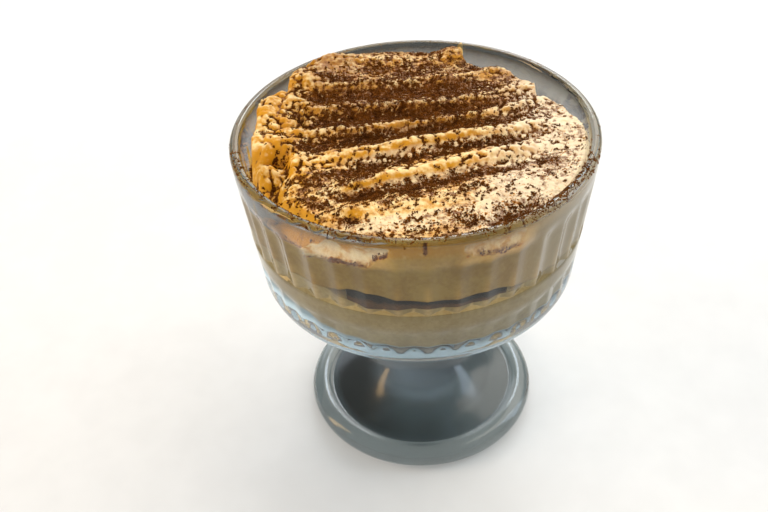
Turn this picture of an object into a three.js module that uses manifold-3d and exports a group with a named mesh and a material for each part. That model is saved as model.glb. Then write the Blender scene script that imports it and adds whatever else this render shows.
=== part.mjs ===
// Tiramisu in a footed pressed-glass coupe. Millimetres, +Z up, the foot stands on z = 0
// and the axis of the glass is the Z axis. The front of the dessert faces -Y.
import * as THREE from 'three';
import { mergeVertices } from 'three/addons/utils/BufferGeometryUtils.js';
import Module from 'manifold-3d';

// Driving dimensions of the glass
const HEIGHT = 107.6;
const RIM_RADIUS = 52.6;
const WALL = 3.2;
const WALL_SLOPE = 0.108;
const BOWL_CORNER = { radius: 7, r: 41.3, z: 64.3 };
const INNER_CORNER = { radius: 6, r: 39.6, z: 70 };
const INNER_SLOPE = 0.1056;
const FLOOR_DIP = 0.5;
const STEM_CURVE = [
  [31, 5.6], [24.5, 8], [17.5, 12.2], [12.6, 18.5], [10, 28], [12, 42.5], [21, 52], [33, 56.2],
];
const BEAD = { r: 33.9, z: 3.7, width: 4, height: 3.7 };
const RECESS = { radius: 30.5, depth: 3 };

// Pressed relief on the outside of the bowl: tall flutes above a plain band, short teeth below it
const FLUTES = 40;
const FLUTE_DEPTH = 1.1;
const FLUTE_FOOT = 80.5;
const FLUTE_FADE = [96, 102];
const FIRST_RIDGE = -87.3;
const LEDGE_SLOPE = 0.8;
const TEETH_TOP = 74;
const TEETH_LENGTH = 2.6;
const TEETH_DEPTH = 0.6;
const TEETH_FADE = [64.5, 68.5];

// Contents
const GAP = 0.3;
const LAYER_Z = 83.4;
const LAYER_TILT = -0.045;
const SPONGE = { half: 2.5, recess: 6, front: -87, reach: 30.5, ends: 5, hiddenEdge: 1.2, shownEdge: 1.4 };
const SPONGE_TOP = [{ at: -108, rise: 1.5, width: 9 }, { at: -68, rise: 0.9, width: 6 }];
const SPONGE_UNDER = [{ at: -104, rise: 1.7, width: 8 }, { at: -64, rise: -0.9, width: 6 }];
const POCKET_PAST_WALL = 3;
const CREAM_LEVEL = 104.8;
const CREAM_CROWN = 1.6;
const CREAM_CEILING = 112;

// Spatula crests across the cream, back to front: distance from the axis, lean, sweep at the right,
// height, x where the crest begins, bend of its left end and the length in which it grows
const CRESTS = [
  { y: 56, lean: 0.0, sweep: 0.0, rise: 0.3, start: -41, tail: 0.0, growth: 7 },
  { y: 41, lean: 0.02, sweep: 0.003, rise: 0.5, start: -41, tail: 0.0, growth: 7 },
  { y: 27.5, lean: 0.096, sweep: 0.0056, rise: 0.65, start: -41, tail: 0.02, growth: 7 },
  { y: 13.4, lean: 0.03, sweep: 0.0068, rise: 0.8, start: -41, tail: 0.044, growth: 7 },
  { y: 2.6, lean: 0.09, sweep: 0.0065, rise: 0.9, start: -41, tail: 0.03, growth: 7 },
  { y: -7.1, lean: 0.235, sweep: 0.0005, rise: 1.15, start: -33, tail: 0.0, growth: 20 },
  { y: -20.3, lean: 0.344, sweep: -0.0007, rise: 1.25, start: -23, tail: 0.0, growth: 7 },
  { y: -33, lean: 0.2, sweep: 0.002, rise: 0.35, start: -41, tail: 0.0, growth: 7 },
  { y: -60, lean: 0.0, sweep: 0.0, rise: 0.2, start: -41, tail: 0.0, growth: 7 },
];
const TAIL_SPAN = [-43, -26];
const VALLEY_AT = 0.4;
const STROKE_ROWS = [0, 0.2, VALLEY_AT, 0.7];
const STROKE_COLUMNS = 34;
const STROKE_REACH = 56;
const CREST_SPAN = [27, 42];

// By azimuth: height where the cream meets the glass, how far its top stands off the glass, and how
// far in its side face leans
const CONTACT = [
  [-165, 96.5], [-150, 97.5], [-128, 97], [-121, 101], [-116, 104], [-90, 104.4], [-40, 104], [0, 103.4],
  [14, 98], [28, 94], [60, 94], [74, 102], [100, 101], [125, 104], [140, 103], [149, 95], [158, 102],
  [168, 98], [178, 96],
];
const STAND = [
  [-176, 1.0], [-167, 0.8], [-158, 1.6], [-148, 2.0], [-126, 1.8], [-119, 0.3], [0, 0.4], [12, 2.0],
  [26, 5.4], [40, 3.2], [52, 1.6], [60, 4.2], [66, 5.0], [74, 0.3], [80, 1.0], [96, 0.8], [108, 0.3],
  [140, 0.2], [146, 1.4], [150, 3.4], [154, 1.2], [159, 0.0], [165, 0.2], [170, 1.0], [176, 1.3],
];
const SIDE_FACE = [
  [-165, 3.0], [-122, 3.0], [-116, 1.0], [-40, 1.4], [0, 2.0], [30, 1.8], [75, 2.2], [140, 1.6], [180, 1.4],
];
const SIDE_STEP = 0.2;
const LUMPS = [
  { x: -27, y: 38, radius: 11, rise: 4.2 },
  { x: -35, y: 27, radius: 8, rise: 2.6 },
  { x: -43, y: 14, radius: 6, rise: 2.8 },
  { x: 13, y: 46, radius: 5, rise: 2.6 },
  { x: -8, y: 45, radius: 8, rise: 1.4 },
  { x: -42.5, y: -13, radius: 5, rise: 3.6 },
  { x: -41.5, y: -20, radius: 4.5, rise: -1.6 },
];
const LEDGE = {
  x: -32.5, back: -6.5, front: -44, turn: -29, lean: 0.7, drop: 5.5, face: 5.5, backFace: 4.4, frontFace: 3,
};

// Facets: two segments a flute, so that glass and contents share their corners
const SEGMENTS = 2 * FLUTES;
const ARC_STEPS = 4;
const BEAD_STEPS = 6;
const STEM_STEPS = 12;

const radians = THREE.MathUtils.degToRad;
const smooth = THREE.MathUtils.smoothstep;
const mix = THREE.MathUtils.lerp;

// Points on an arc of an ellipse in the (radius, height) plane
function arc(centre, width, height, from, to, steps) {
  return Array.from({ length: steps + 1 }, (_, i) => {
    const angle = radians(mix(from, to, i / steps));
    return new THREE.Vector2(centre.r + width * Math.cos(angle), centre.z + height * Math.sin(angle));
  });
}

// Evenly spaced heights from one level to another
function levels(from, to, steps) {
  return Array.from({ length: steps + 1 }, (_, i) => mix(from, to, i / steps));
}

// Joins a geometry's doubled vertices and drops the triangles that close up at the axis
function weld(geometry) {
  geometry.deleteAttribute('normal');
  geometry.deleteAttribute('uv');
  const welded = mergeVertices(geometry, 1e-4);
  const index = welded.getIndex().array;
  const kept = [];
  for (let i = 0; i < index.length; i += 3) {
    const [a, b, c] = index.subarray(i, i + 3);
    if (a !== b && b !== c && c !== a) kept.push(a, b, c);
  }
  welded.setIndex(kept);
  return welded;
}

// Turns a profile about the Z axis; shape(point, row) may then move each vertex
function revolve(profile, shape = () => {}) {
  const lathe = new THREE.LatheGeometry(profile, SEGMENTS).rotateX(Math.PI / 2);
  lathe.rotateZ(radians(FIRST_RIDGE + 90));
  const position = lathe.getAttribute('position');
  const point = new THREE.Vector3();
  for (let i = 0; i < position.count; i += 1) {
    point.fromBufferAttribute(position, i);
    shape(point, i % profile.length);
    position.setXYZ(i, point.x, point.y, point.z);
  }
  return weld(lathe);
}

// Azimuth of a point in degrees, -90 at the front
function azimuthOf(point) {
  return THREE.MathUtils.radToDeg(Math.atan2(point.y, point.x));
}

// Moves a point to another distance from the axis
function setRadius(point, radius) {
  const now = Math.hypot(point.x, point.y);
  if (now < 1e-6) return;
  point.x *= radius / now;
  point.y *= radius / now;
}

// Outer radius of the plain wall before its relief is pressed in
function outerRadius(z) {
  const start = BOWL_CORNER.r + BOWL_CORNER.radius;
  return start + WALL_SLOPE * (z - BOWL_CORNER.z);
}

// Radius of the inside of the bowl
function innerRadius(z) {
  const drop = INNER_CORNER.z - z;
  if (drop <= 0) return INNER_CORNER.r + INNER_CORNER.radius - INNER_SLOPE * drop;
  return INNER_CORNER.r + Math.sqrt(Math.max(0, INNER_CORNER.radius ** 2 - drop ** 2));
}

// Depth of the pressed relief at a point: hollow flutes that run out on a ledge, and pointed teeth
function reliefDepth(azimuth, z) {
  const across = Math.abs((((azimuth - FIRST_RIDGE) * FLUTES) / 360) % 1);
  const fromRidge = 2 * Math.min(across, 1 - across);
  if (z > FLUTE_FOOT) {
    const hollow = FLUTE_DEPTH * fromRidge * (2 - fromRidge) * (1 - smooth(z, ...FLUTE_FADE));
    return Math.min(hollow, LEDGE_SLOPE * (z - FLUTE_FOOT));
  }
  if (z > TEETH_TOP) return 0;
  const run = Math.min(1, (TEETH_TOP - z) / TEETH_LENGTH);
  return TEETH_DEPTH * Math.min(fromRidge, run) * smooth(z, ...TEETH_FADE);
}

// Profile of the inside of the bowl from the middle of its floor up to a level, set in by a gap
function innerProfile(top, gap) {
  const floor = INNER_CORNER.z - INNER_CORNER.radius;
  const corner = arc(INNER_CORNER, INNER_CORNER.radius - gap, INNER_CORNER.radius - gap, -90, 0, ARC_STEPS);
  const middle = new THREE.Vector2(0, floor - FLOOR_DIP + gap);
  return [middle, ...corner, new THREE.Vector2(innerRadius(top) - gap, top)];
}

// The pressed glass: foot with a rounded bead, plain stem, thick-bottomed bowl with a round lip
function glassGeometry() {
  const lip = { r: RIM_RADIUS - WALL / 2, z: HEIGHT - WALL / 2 };
  const recess = levels(0, 1, 2).map(
    (t) => new THREE.Vector2(t * RECESS.radius, RECESS.depth * (1 - t * t)),
  );
  const bead = arc(BEAD, BEAD.width, BEAD.height, -90, 120, BEAD_STEPS);
  const stem = new THREE.SplineCurve(STEM_CURVE.map(([r, z]) => new THREE.Vector2(r, z)));
  const corner = arc(BOWL_CORNER, BOWL_CORNER.radius, BOWL_CORNER.radius, -90, 0, ARC_STEPS);
  const wall = [
    TEETH_TOP - TEETH_LENGTH, TEETH_TOP, FLUTE_FOOT,
    ...levels(FLUTE_FOOT + FLUTE_DEPTH / LEDGE_SLOPE, FLUTE_FADE[0], 2),
    mix(...FLUTE_FADE, 0.5), FLUTE_FADE[1],
  ].map((z) => new THREE.Vector2(outerRadius(z), z));
  const round = arc(lip, WALL / 2, WALL / 2, 0, 180, ARC_STEPS);
  const inside = innerProfile(lip.z, 0).reverse().slice(1);
  const foot = [...recess, ...bead, ...stem.getPoints(STEM_STEPS)];
  const profile = [...foot, ...corner, ...wall, ...round, ...inside];
  const outerRows = profile.length - inside.length - round.length;
  return revolve(profile, (point, row) => {
    if (row >= outerRows) return;
    const radius = Math.hypot(point.x, point.y);
    if (radius < BOWL_CORNER.r) return;
    setRadius(point, radius - reliefDepth(azimuthOf(point), point.z));
  });
}

// Height of the uneven plane in which the sponge layer lies
function layerHeight(x) {
  return LAYER_Z + LAYER_TILT * x;
}

// Turn from one azimuth to another, within half a turn either way
function turnBetween(from, to) {
  return ((to - from + 540) % 360) - 180;
}

// Sum of soft bumps placed round the axis
function bumps(list, azimuth) {
  return list.reduce(
    (sum, { at, rise, width }) => sum + rise * Math.exp(-((turnBetween(at, azimuth) / width) ** 2)),
    0,
  );
}

// How much of the sponge reaches the glass at an azimuth: 1 in the front, 0 elsewhere
function spongeShows(azimuth) {
  const away = Math.abs(turnBetween(SPONGE.front, azimuth));
  return 1 - smooth(away, SPONGE.reach - SPONGE.ends, SPONGE.reach + SPONGE.ends);
}

// The soaked sponge: a flat biscuit layer through the cream whose front edge lies against the glass.
// Grown by some clearance it is also the pocket that the cream leaves for it.
function spongeGeometry(grow) {
  const shares = [0, 0.75, 1];
  const under = shares.map((share) => new THREE.Vector2(share, 0));
  const over = shares.toReversed().map((share) => new THREE.Vector2(share, 1));
  return revolve([...under, ...over], (point, row) => {
    const share = Math.hypot(point.x, point.y);
    const azimuth = azimuthOf(point);
    const shows = spongeShows(azimuth);
    const edge = innerRadius(LAYER_Z) - GAP - SPONGE.recess * (1 - shows);
    const past = grow > 0 ? grow + POCKET_PAST_WALL * shows : 0;
    setRadius(point, share * (edge + past));
    const side = row < shares.length ? -1 : 1;
    const shown = SPONGE.shownEdge + bumps(side > 0 ? SPONGE_TOP : SPONGE_UNDER, azimuth);
    const thick = mix(SPONGE.half, mix(SPONGE.hiddenEdge, shown, shows), smooth(share, shares[1], 1));
    point.z = layerHeight(point.x) + side * (thick + grow);
  });
}

// Lower cream, from the floor of the bowl to the plane of the sponge
function creamBaseGeometry() {
  const profile = innerProfile(LAYER_Z, GAP);
  const topRow = profile.length - 1;
  profile.push(new THREE.Vector2(0, LAYER_Z));
  return revolve(profile, (point, row) => {
    if (row < topRow) return;
    const edge = Math.hypot(point.x, point.y) > 1;
    point.z = layerHeight(point.x) - GAP / 2;
    if (edge) setRadius(point, innerRadius(point.z) - GAP);
  });
}

// Value at an azimuth, eased between the pairs of a ring of [azimuth, value]
function around(ring, azimuth) {
  const next = ring.findIndex(([at]) => at > azimuth);
  const [first, last] = [ring[0], ring.at(-1)];
  const after = next < 0 ? [first[0] + 360, first[1]] : ring[next];
  const before = next === 0 ? [last[0] - 360, last[1]] : ring.at(next < 0 ? -1 : next - 1);
  return mix(before[1], after[1], smooth(azimuth, before[0], after[0]));
}

// Distance of a crest from the axis plane at x: the strokes lean, and sweep back at both ends
function crestLine(crest, x) {
  const bend = crest.tail * Math.max(0, TAIL_SPAN[1] - Math.max(x, TAIL_SPAN[0])) ** 2;
  return crest.y + crest.lean * x + crest.sweep * Math.max(0, x) ** 2 + bend;
}

// Height of a crest at x, from where it begins
function crestHeight(crest, x) {
  return crest.rise * smooth(x, crest.start, crest.start + crest.growth);
}

// Depth of the low ledge beside the cut edge at the left front
function ledgeDrop(x, y) {
  const edge = LEDGE.x + LEDGE.lean * Math.max(0, LEDGE.turn - y);
  const pastFront = smooth(y, LEDGE.front - LEDGE.frontFace, LEDGE.front);
  const pastBack = smooth(y, LEDGE.back - LEDGE.backFace, LEDGE.back);
  return LEDGE.drop * smooth(edge - x, 0, LEDGE.face) * pastFront * (1 - pastBack);
}

// Height of the dabs of cream that stand up at the edge, and depth of the hollow at the left
function lumpHeight(x, y) {
  return LUMPS.reduce((sum, lump) => {
    const away = Math.hypot(x - lump.x, y - lump.y) / lump.radius;
    return sum + lump.rise * Math.exp(-away * away);
  }, 0);
}

// Sheet of cream with the spatula strokes in its top: a steep fall from each crest to its valley,
// then a slow rise to the next one. Its rows of facets follow the strokes.
function strokedGeometry() {
  const perStroke = STROKE_ROWS.length;
  const rows = perStroke * (CRESTS.length - 1);
  const sheet = new THREE.BoxGeometry(1, 1, 1, STROKE_COLUMNS, rows, 1);
  const position = sheet.getAttribute('position');
  for (let i = 0; i < position.count; i += 1) {
    const x = 2 * STROKE_REACH * position.getX(i);
    const row = Math.round(rows * (0.5 - position.getY(i)));
    const stroke = Math.min(Math.floor(row / perStroke), CRESTS.length - 2);
    const along = row === rows ? 1 : STROKE_ROWS[row % perStroke];
    const [behind, ahead] = [CRESTS[stroke], CRESTS[stroke + 1]];
    const y = mix(crestLine(behind, x), crestLine(ahead, x), along);
    const turn = along < VALLEY_AT ? along / VALLEY_AT : (1 - along) / (1 - VALLEY_AT);
    const rise = mix(crestHeight(behind, x), crestHeight(ahead, x), along);
    const stroked = rise * Math.cos(Math.PI * turn) * (1 - smooth(x, ...CREST_SPAN));
    const crown = CREAM_CROWN * (1 - (x * x + y * y) / RIM_RADIUS ** 2);
    const top = CREAM_LEVEL + crown + stroked + lumpHeight(x, y) - ledgeDrop(x, y);
    position.setXYZ(i, x, y, position.getZ(i) > 0 ? top : INNER_CORNER.z);
  }
  return weld(sheet);
}

// Body of the upper cream: fills the glass above the sponge up to where it meets the wall, then
// rises steeply, standing off the glass by an uneven distance
function creamBodyGeometry() {
  const wallRows = [0, 0.5, 1];
  const sideRows = [0, 0.25, 0.5, 1];
  const wallTop = 1 + wallRows.length;
  const profile = [0, ...wallRows.map(() => 1), ...sideRows.map(() => 1), 0].map(
    (r, row) => new THREE.Vector2(r, row),
  );
  return revolve(profile, (point, row) => {
    const azimuth = azimuthOf(point);
    const contact = around(CONTACT, azimuth);
    const stand = GAP + Math.max(SIDE_STEP, around(STAND, azimuth) - GAP);
    if (row === 0) point.z = LAYER_Z + GAP / 2;
    else if (row < wallTop) {
      setRadius(point, innerRadius(LAYER_Z) - GAP);
      point.z = mix(layerHeight(point.x) + GAP / 2, contact, wallRows[row - 1]);
      setRadius(point, innerRadius(point.z) - GAP);
    } else if (row < wallTop + sideRows.length) {
      const rise = sideRows[row - wallTop];
      setRadius(point, innerRadius(contact) - stand - around(SIDE_FACE, azimuth) * rise);
      point.z = mix(contact, CREAM_CEILING, Math.sin((Math.PI / 2) * rise));
    } else point.z = CREAM_CEILING;
  });
}

// Cutting: closed geometries become solids, and the result becomes a geometry again
const wasm = await Module();
wasm.setup();

function solid(geometry) {
  return new wasm.Manifold(new wasm.Mesh({
    numProp: 3,
    vertProperties: new Float32Array(geometry.getAttribute('position').array),
    triVerts: new Uint32Array(geometry.getIndex().array),
  }));
}

function geometryOf(shape) {
  const { vertProperties, triVerts } = shape.getMesh();
  const result = new THREE.BufferGeometry();
  result.setAttribute('position', new THREE.BufferAttribute(vertProperties, 3));
  result.setIndex(new THREE.BufferAttribute(triVerts, 1));
  return result;
}

// Colour, roughness and metalness of each sub-part
function finish(color, roughness, more = {}) {
  return new THREE.MeshStandardMaterial({ color, roughness, metalness: 0, ...more });
}

function part(name, geometry, material) {
  geometry.computeVertexNormals();
  const mesh = new THREE.Mesh(geometry, material);
  mesh.name = name;
  return mesh;
}

const pocket = solid(spongeGeometry(GAP));
const creamBase = solid(creamBaseGeometry()).subtract(pocket);
const creamTop = solid(creamBodyGeometry()).intersect(solid(strokedGeometry())).subtract(pocket);

const dessert = new THREE.Group();
dessert.name = 'tiramisu';
dessert.add(
  part('glass', glassGeometry(), finish(0xc9d6d8, 0.06, { transparent: true, opacity: 0.4 })),
  part('cream_base', geometryOf(creamBase), finish(0xd8c39a, 0.6)),
  part('sponge', spongeGeometry(0), finish(0x4a2f1a, 0.85)),
  part('cream_top', geometryOf(creamTop), finish(0xf3ddb0, 0.55)),
);

export default dessert;
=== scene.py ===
"""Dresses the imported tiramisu: a footed pressed-glass coupe, its cream, soaked sponge and cocoa.

Every piece is made in metres in the frame's own axes: +Z is up, the foot stands on z = 0, the axis of the
glass is the Z axis and the front of the dessert faces -Y. Sizes held by the classes are in millimetres,
and azimuths in degrees, with -90 at the front.
"""

import logging
import math
from dataclasses import dataclass, field
from enum import Enum
from typing import Callable, Sequence

import bmesh
import bpy
import numpy as np
from mathutils import Matrix, Vector

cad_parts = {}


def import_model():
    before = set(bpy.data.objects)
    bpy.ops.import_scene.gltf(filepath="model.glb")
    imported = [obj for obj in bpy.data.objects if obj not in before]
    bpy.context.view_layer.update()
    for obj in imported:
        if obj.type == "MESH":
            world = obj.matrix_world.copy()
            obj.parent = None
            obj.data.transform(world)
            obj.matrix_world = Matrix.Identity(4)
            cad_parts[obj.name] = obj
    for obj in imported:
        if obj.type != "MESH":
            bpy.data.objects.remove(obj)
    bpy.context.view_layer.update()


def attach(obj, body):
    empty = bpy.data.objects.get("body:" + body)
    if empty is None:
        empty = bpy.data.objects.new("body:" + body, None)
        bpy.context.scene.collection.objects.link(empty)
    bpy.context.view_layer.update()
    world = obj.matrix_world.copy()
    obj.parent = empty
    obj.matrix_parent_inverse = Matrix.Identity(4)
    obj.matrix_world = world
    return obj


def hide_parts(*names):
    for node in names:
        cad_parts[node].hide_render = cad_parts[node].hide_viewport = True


MM = 0.001
BODY = "root"
FULL_TURN = 2 * math.pi

log = logging.getLogger("tiramisu")

Array = np.ndarray
Colour = tuple[float, float, float]
Pair = tuple[float, float]
Ring = tuple[Pair, ...]
Piece = bpy.types.Object
Material = bpy.types.Material
Socket = bpy.types.NodeSocket
Shape = bmesh.types.BMesh
Vert = bmesh.types.BMVert
Edge = bmesh.types.BMEdge


def linear(red: int, green: int, blue: int) -> tuple[float, float, float, float]:
    """Turns an sRGB colour of 0 to 255 into the linear RGBA that sockets take.

    Args:
        red: Red part.
        green: Green part.
        blue: Blue part.

    Returns:
        The colour with an alpha of 1.
    """
    parts = []
    for part in (red, green, blue):
        share = part / 255
        parts.append(share / 12.92 if share <= 0.04045 else ((share + 0.055) / 1.055) ** 2.4)
    return (*parts, 1.0)


def ease(value: Array, low: float, high: float) -> Array:
    """Rises smoothly from 0 at low to 1 at high."""
    share = np.clip((np.asarray(value, dtype=float) - low) / (high - low), 0, 1)
    return share * share * (3 - 2 * share)


def fade(value: Array, low: float, high: float) -> Array:
    """Falls smoothly from 1 at low to 0 at high."""
    return 1 - ease(value, low, high)


def hill(value: Array, middle: Array, width: Array) -> Array:
    """Rises to 1 at the middle and dies away over the width on both sides."""
    return np.exp(-(((value - middle) / width) ** 2))


def mix(start: Array, end: Array, share: Array) -> Array:
    """Blends from start to end by a share of 0 to 1."""
    return start + (end - start) * share


def soft_lower(first: Array, second: Array, blend: float) -> Array:
    """Takes the lower of two heights, rounded where they cross."""
    near = np.clip(0.5 + 0.5 * (second - first) / blend, 0, 1)
    return mix(second, first, near) - blend * near * (1 - near)


def turn_between(start: float, end: Array) -> Array:
    """Turn in degrees from one azimuth to another, within half a turn either way."""
    return (end - start + 540) % 360 - 180


def azimuth_of(points: Array) -> Array:
    """Azimuth in degrees of each row of x, y, z."""
    return np.degrees(np.arctan2(points[:, 1], points[:, 0]))


@dataclass(frozen=True)
class Bump:
    """A soft rise at one azimuth round the axis."""

    at: float
    rise: float
    width: float


def bumps(ring: Sequence[Bump], azimuth: Array) -> Array:
    """Sums soft bumps round the axis.

    Args:
        ring: The bumps.
        azimuth: Where to read them, in degrees.

    Returns:
        Their summed rise.
    """
    total = np.zeros_like(azimuth, dtype=float)
    for bump in ring:
        total += bump.rise * hill(turn_between(bump.at, azimuth), 0, bump.width)
    return total


def around(ring: Sequence[Pair], azimuth: Array) -> Array:
    """Reads a ring of azimuth and value pairs, eased between neighbours.

    Args:
        ring: Pairs in rising order of azimuth.
        azimuth: Where to read, in degrees.

    Returns:
        The value at each azimuth.
    """
    first, last = ring[0], ring[-1]
    closed = [(last[0] - 360, last[1]), *ring, (first[0] + 360, first[1])]
    value = np.zeros_like(azimuth, dtype=float)
    for before, after in zip(closed, closed[1:]):
        inside = (azimuth >= before[0]) & (azimuth < after[0])
        value = np.where(inside, mix(before[1], after[1], ease(azimuth, before[0], after[0])), value)
    return value


class Unevenness:
    """Soft seeded noise through space, from -1 to 1."""

    CELLS = 64

    def __init__(self, seed: int) -> None:
        """Draws the lattice of values that the noise runs through."""
        shape = (self.CELLS, self.CELLS, self.CELLS)
        self.lattice = np.random.default_rng(seed).uniform(-1, 1, shape)

    def at(self, x: Array, y: Array, z: Array, size: float) -> Array:
        """Reads the noise.

        Args:
            x: Places along x, in mm.
            y: Places along y.
            z: Places along z.
            size: Distance between lattice values, in mm.

        Returns:
            The noise at each place.
        """
        total = 0.0
        cells = []
        for axis in np.broadcast_arrays(x, y, z):
            scaled = np.asarray(axis, dtype=float) / size
            low = np.floor(scaled).astype(int)
            cells.append((low, ease(scaled - low, 0, 1)))
        for corner in range(8):
            index = []
            weight = 1.0
            for step, (low, share) in enumerate(cells):
                upper = (corner >> step) & 1
                index.append((low + upper) % self.CELLS)
                weight = weight * (share if upper else 1 - share)
            total = total + weight * self.lattice[tuple(index)]
        return total


class Curds:
    """Round-topped curds side by side: 1 on their tops, 0 in the gaps."""

    CELLS = 64

    def __init__(self, seed: int) -> None:
        """Draws where the curds sit and how wide they are.

        Args:
            seed: Seed of the draw.
        """
        draw = np.random.default_rng(seed)
        self.shift = draw.uniform(0.1, 0.9, (self.CELLS, self.CELLS, 2))
        self.width = draw.uniform(0.5, 1.0, (self.CELLS, self.CELLS))

    def at(self, x: Array, y: Array, size: float) -> Array:
        """Reads the curds.

        Args:
            x: Places along x, in mm.
            y: Places along y.
            size: Usual distance between curds, in mm.

        Returns:
            The height of the curd at each place.
        """
        column, row = np.floor(x / size).astype(int), np.floor(y / size).astype(int)
        best = np.zeros_like(x, dtype=float)
        for step in range(9):
            i, j = column + step % 3 - 1, row + step // 3 - 1
            cell = (i % self.CELLS, j % self.CELLS)
            shift = self.shift[cell]
            away = np.hypot(x / size - i - shift[..., 0], y / size - j - shift[..., 1])
            best = np.maximum(best, 1 - (away / self.width[cell]) ** 2)
        return np.sqrt(best)


def revolve(profile: Sequence[Pair], steps: int) -> Shape:
    """Spins a profile of radius and height in mm round the Z axis.

    Args:
        profile: Points from the axis back to the axis, or a closed run of them.
        steps: Divisions of the full turn, the first at the front.

    Returns:
        A closed bmesh in metres with its normals outwards.
    """
    shape = bmesh.new()
    points = [shape.verts.new((0.0, -radius * MM, height * MM)) for radius, height in profile]
    lines = [shape.edges.new(pair) for pair in zip(points, points[1:])]
    bmesh.ops.spin(
        shape, geom=points + lines, cent=(0, 0, 0), axis=(0, 0, 1), angle=FULL_TURN, steps=steps,
        use_merge=True,
    )
    bmesh.ops.remove_doubles(shape, verts=shape.verts, dist=1e-7)
    bmesh.ops.recalc_face_normals(shape, faces=shape.faces)
    return shape


def reshape(shape: Shape, change: Callable[[Array], Array]) -> None:
    """Moves every vertex of a bmesh.

    Args:
        shape: The bmesh, in metres.
        change: Takes rows of x, y, z in mm and gives the new rows.
    """
    points = np.array([vert.co[:] for vert in shape.verts]) / MM
    for vert, place in zip(shape.verts, change(points) * MM):
        vert.co = place


def arc(
    centre: Pair, width: float, height: float, start: float, end: float, steps: int
) -> list[Pair]:
    """Points on an arc of an ellipse in the plane of radius and height."""
    angles = np.radians(np.linspace(start, end, steps + 1))
    return [(centre[0] + width * math.cos(a), centre[1] + height * math.sin(a)) for a in angles]


def flowing(points: Sequence[Pair], steps: int) -> list[Pair]:
    """Runs a smooth curve through points.

    Args:
        points: Points that the curve passes.
        steps: Divisions between each pair.

    Returns:
        Points on the curve.
    """
    given = np.array(points)
    padded = np.vstack([given[0], given, given[-1]])
    curve = []
    for before, start, end, after in zip(padded, padded[1:], padded[2:], padded[3:]):
        for share in np.linspace(0, 1, steps, endpoint=False):
            leave, arrive = (end - before) / 2, (after - start) / 2
            cubic = (2 * start - 2 * end + leave + arrive) * share**3
            square = (3 * end - 3 * start - 2 * leave - arrive) * share**2
            curve.append(tuple(cubic + square + leave * share + start))
    return [*curve, tuple(given[-1])]


def piece_from(name: str, shape: Shape, node: str | None) -> Piece:
    """Makes a smooth piece from a bmesh and ties it to the frame.

    Args:
        name: Name of the piece.
        shape: Its bmesh, which is freed.
        node: The CAD node that it stands for, if any.

    Returns:
        The new object.
    """
    mesh = bpy.data.meshes.new(name)
    shape.to_mesh(mesh)
    shape.free()
    return tie(name, mesh, node)


def tie(name: str, mesh: bpy.types.Mesh, node: str | None) -> Piece:
    """Puts a mesh in the scene as a smooth piece that rides on the body.

    Args:
        name: Name of the piece.
        mesh: Its mesh.
        node: The CAD node that it stands for, if any.

    Returns:
        The new object.
    """
    mesh.shade_smooth()
    piece = bpy.data.objects.new(name, mesh)
    bpy.context.collection.objects.link(piece)
    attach(piece, BODY)
    if node:
        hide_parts(node)
    return piece


def paint(piece: Piece, name: str, values: Array | float) -> None:
    """Stores one number for each vertex of a piece.

    Args:
        piece: The piece.
        name: Name that its material reads.
        values: One number for each vertex, or one for all of them.
    """
    layer = piece.data.attributes.new(name, "FLOAT", "POINT")
    spread = np.broadcast_to(np.asarray(values, dtype=np.float32), len(piece.data.vertices))
    layer.data.foreach_set("value", np.ascontiguousarray(spread))


def vertex_places(piece: Piece) -> Array:
    """Reads the vertices of a piece.

    Args:
        piece: The piece.

    Returns:
        Rows of x, y, z in mm.
    """
    flat = np.empty(3 * len(piece.data.vertices), dtype=np.float32)
    piece.data.vertices.foreach_get("co", flat)
    return flat.reshape(-1, 3).astype(float) / MM


class Slot(Enum):
    """Material slots of the record."""

    GLASS = "glass"
    CREAM_BASE = "cream_base"
    SPONGE = "sponge"
    CREAM_TOP = "cream_top"


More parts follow.
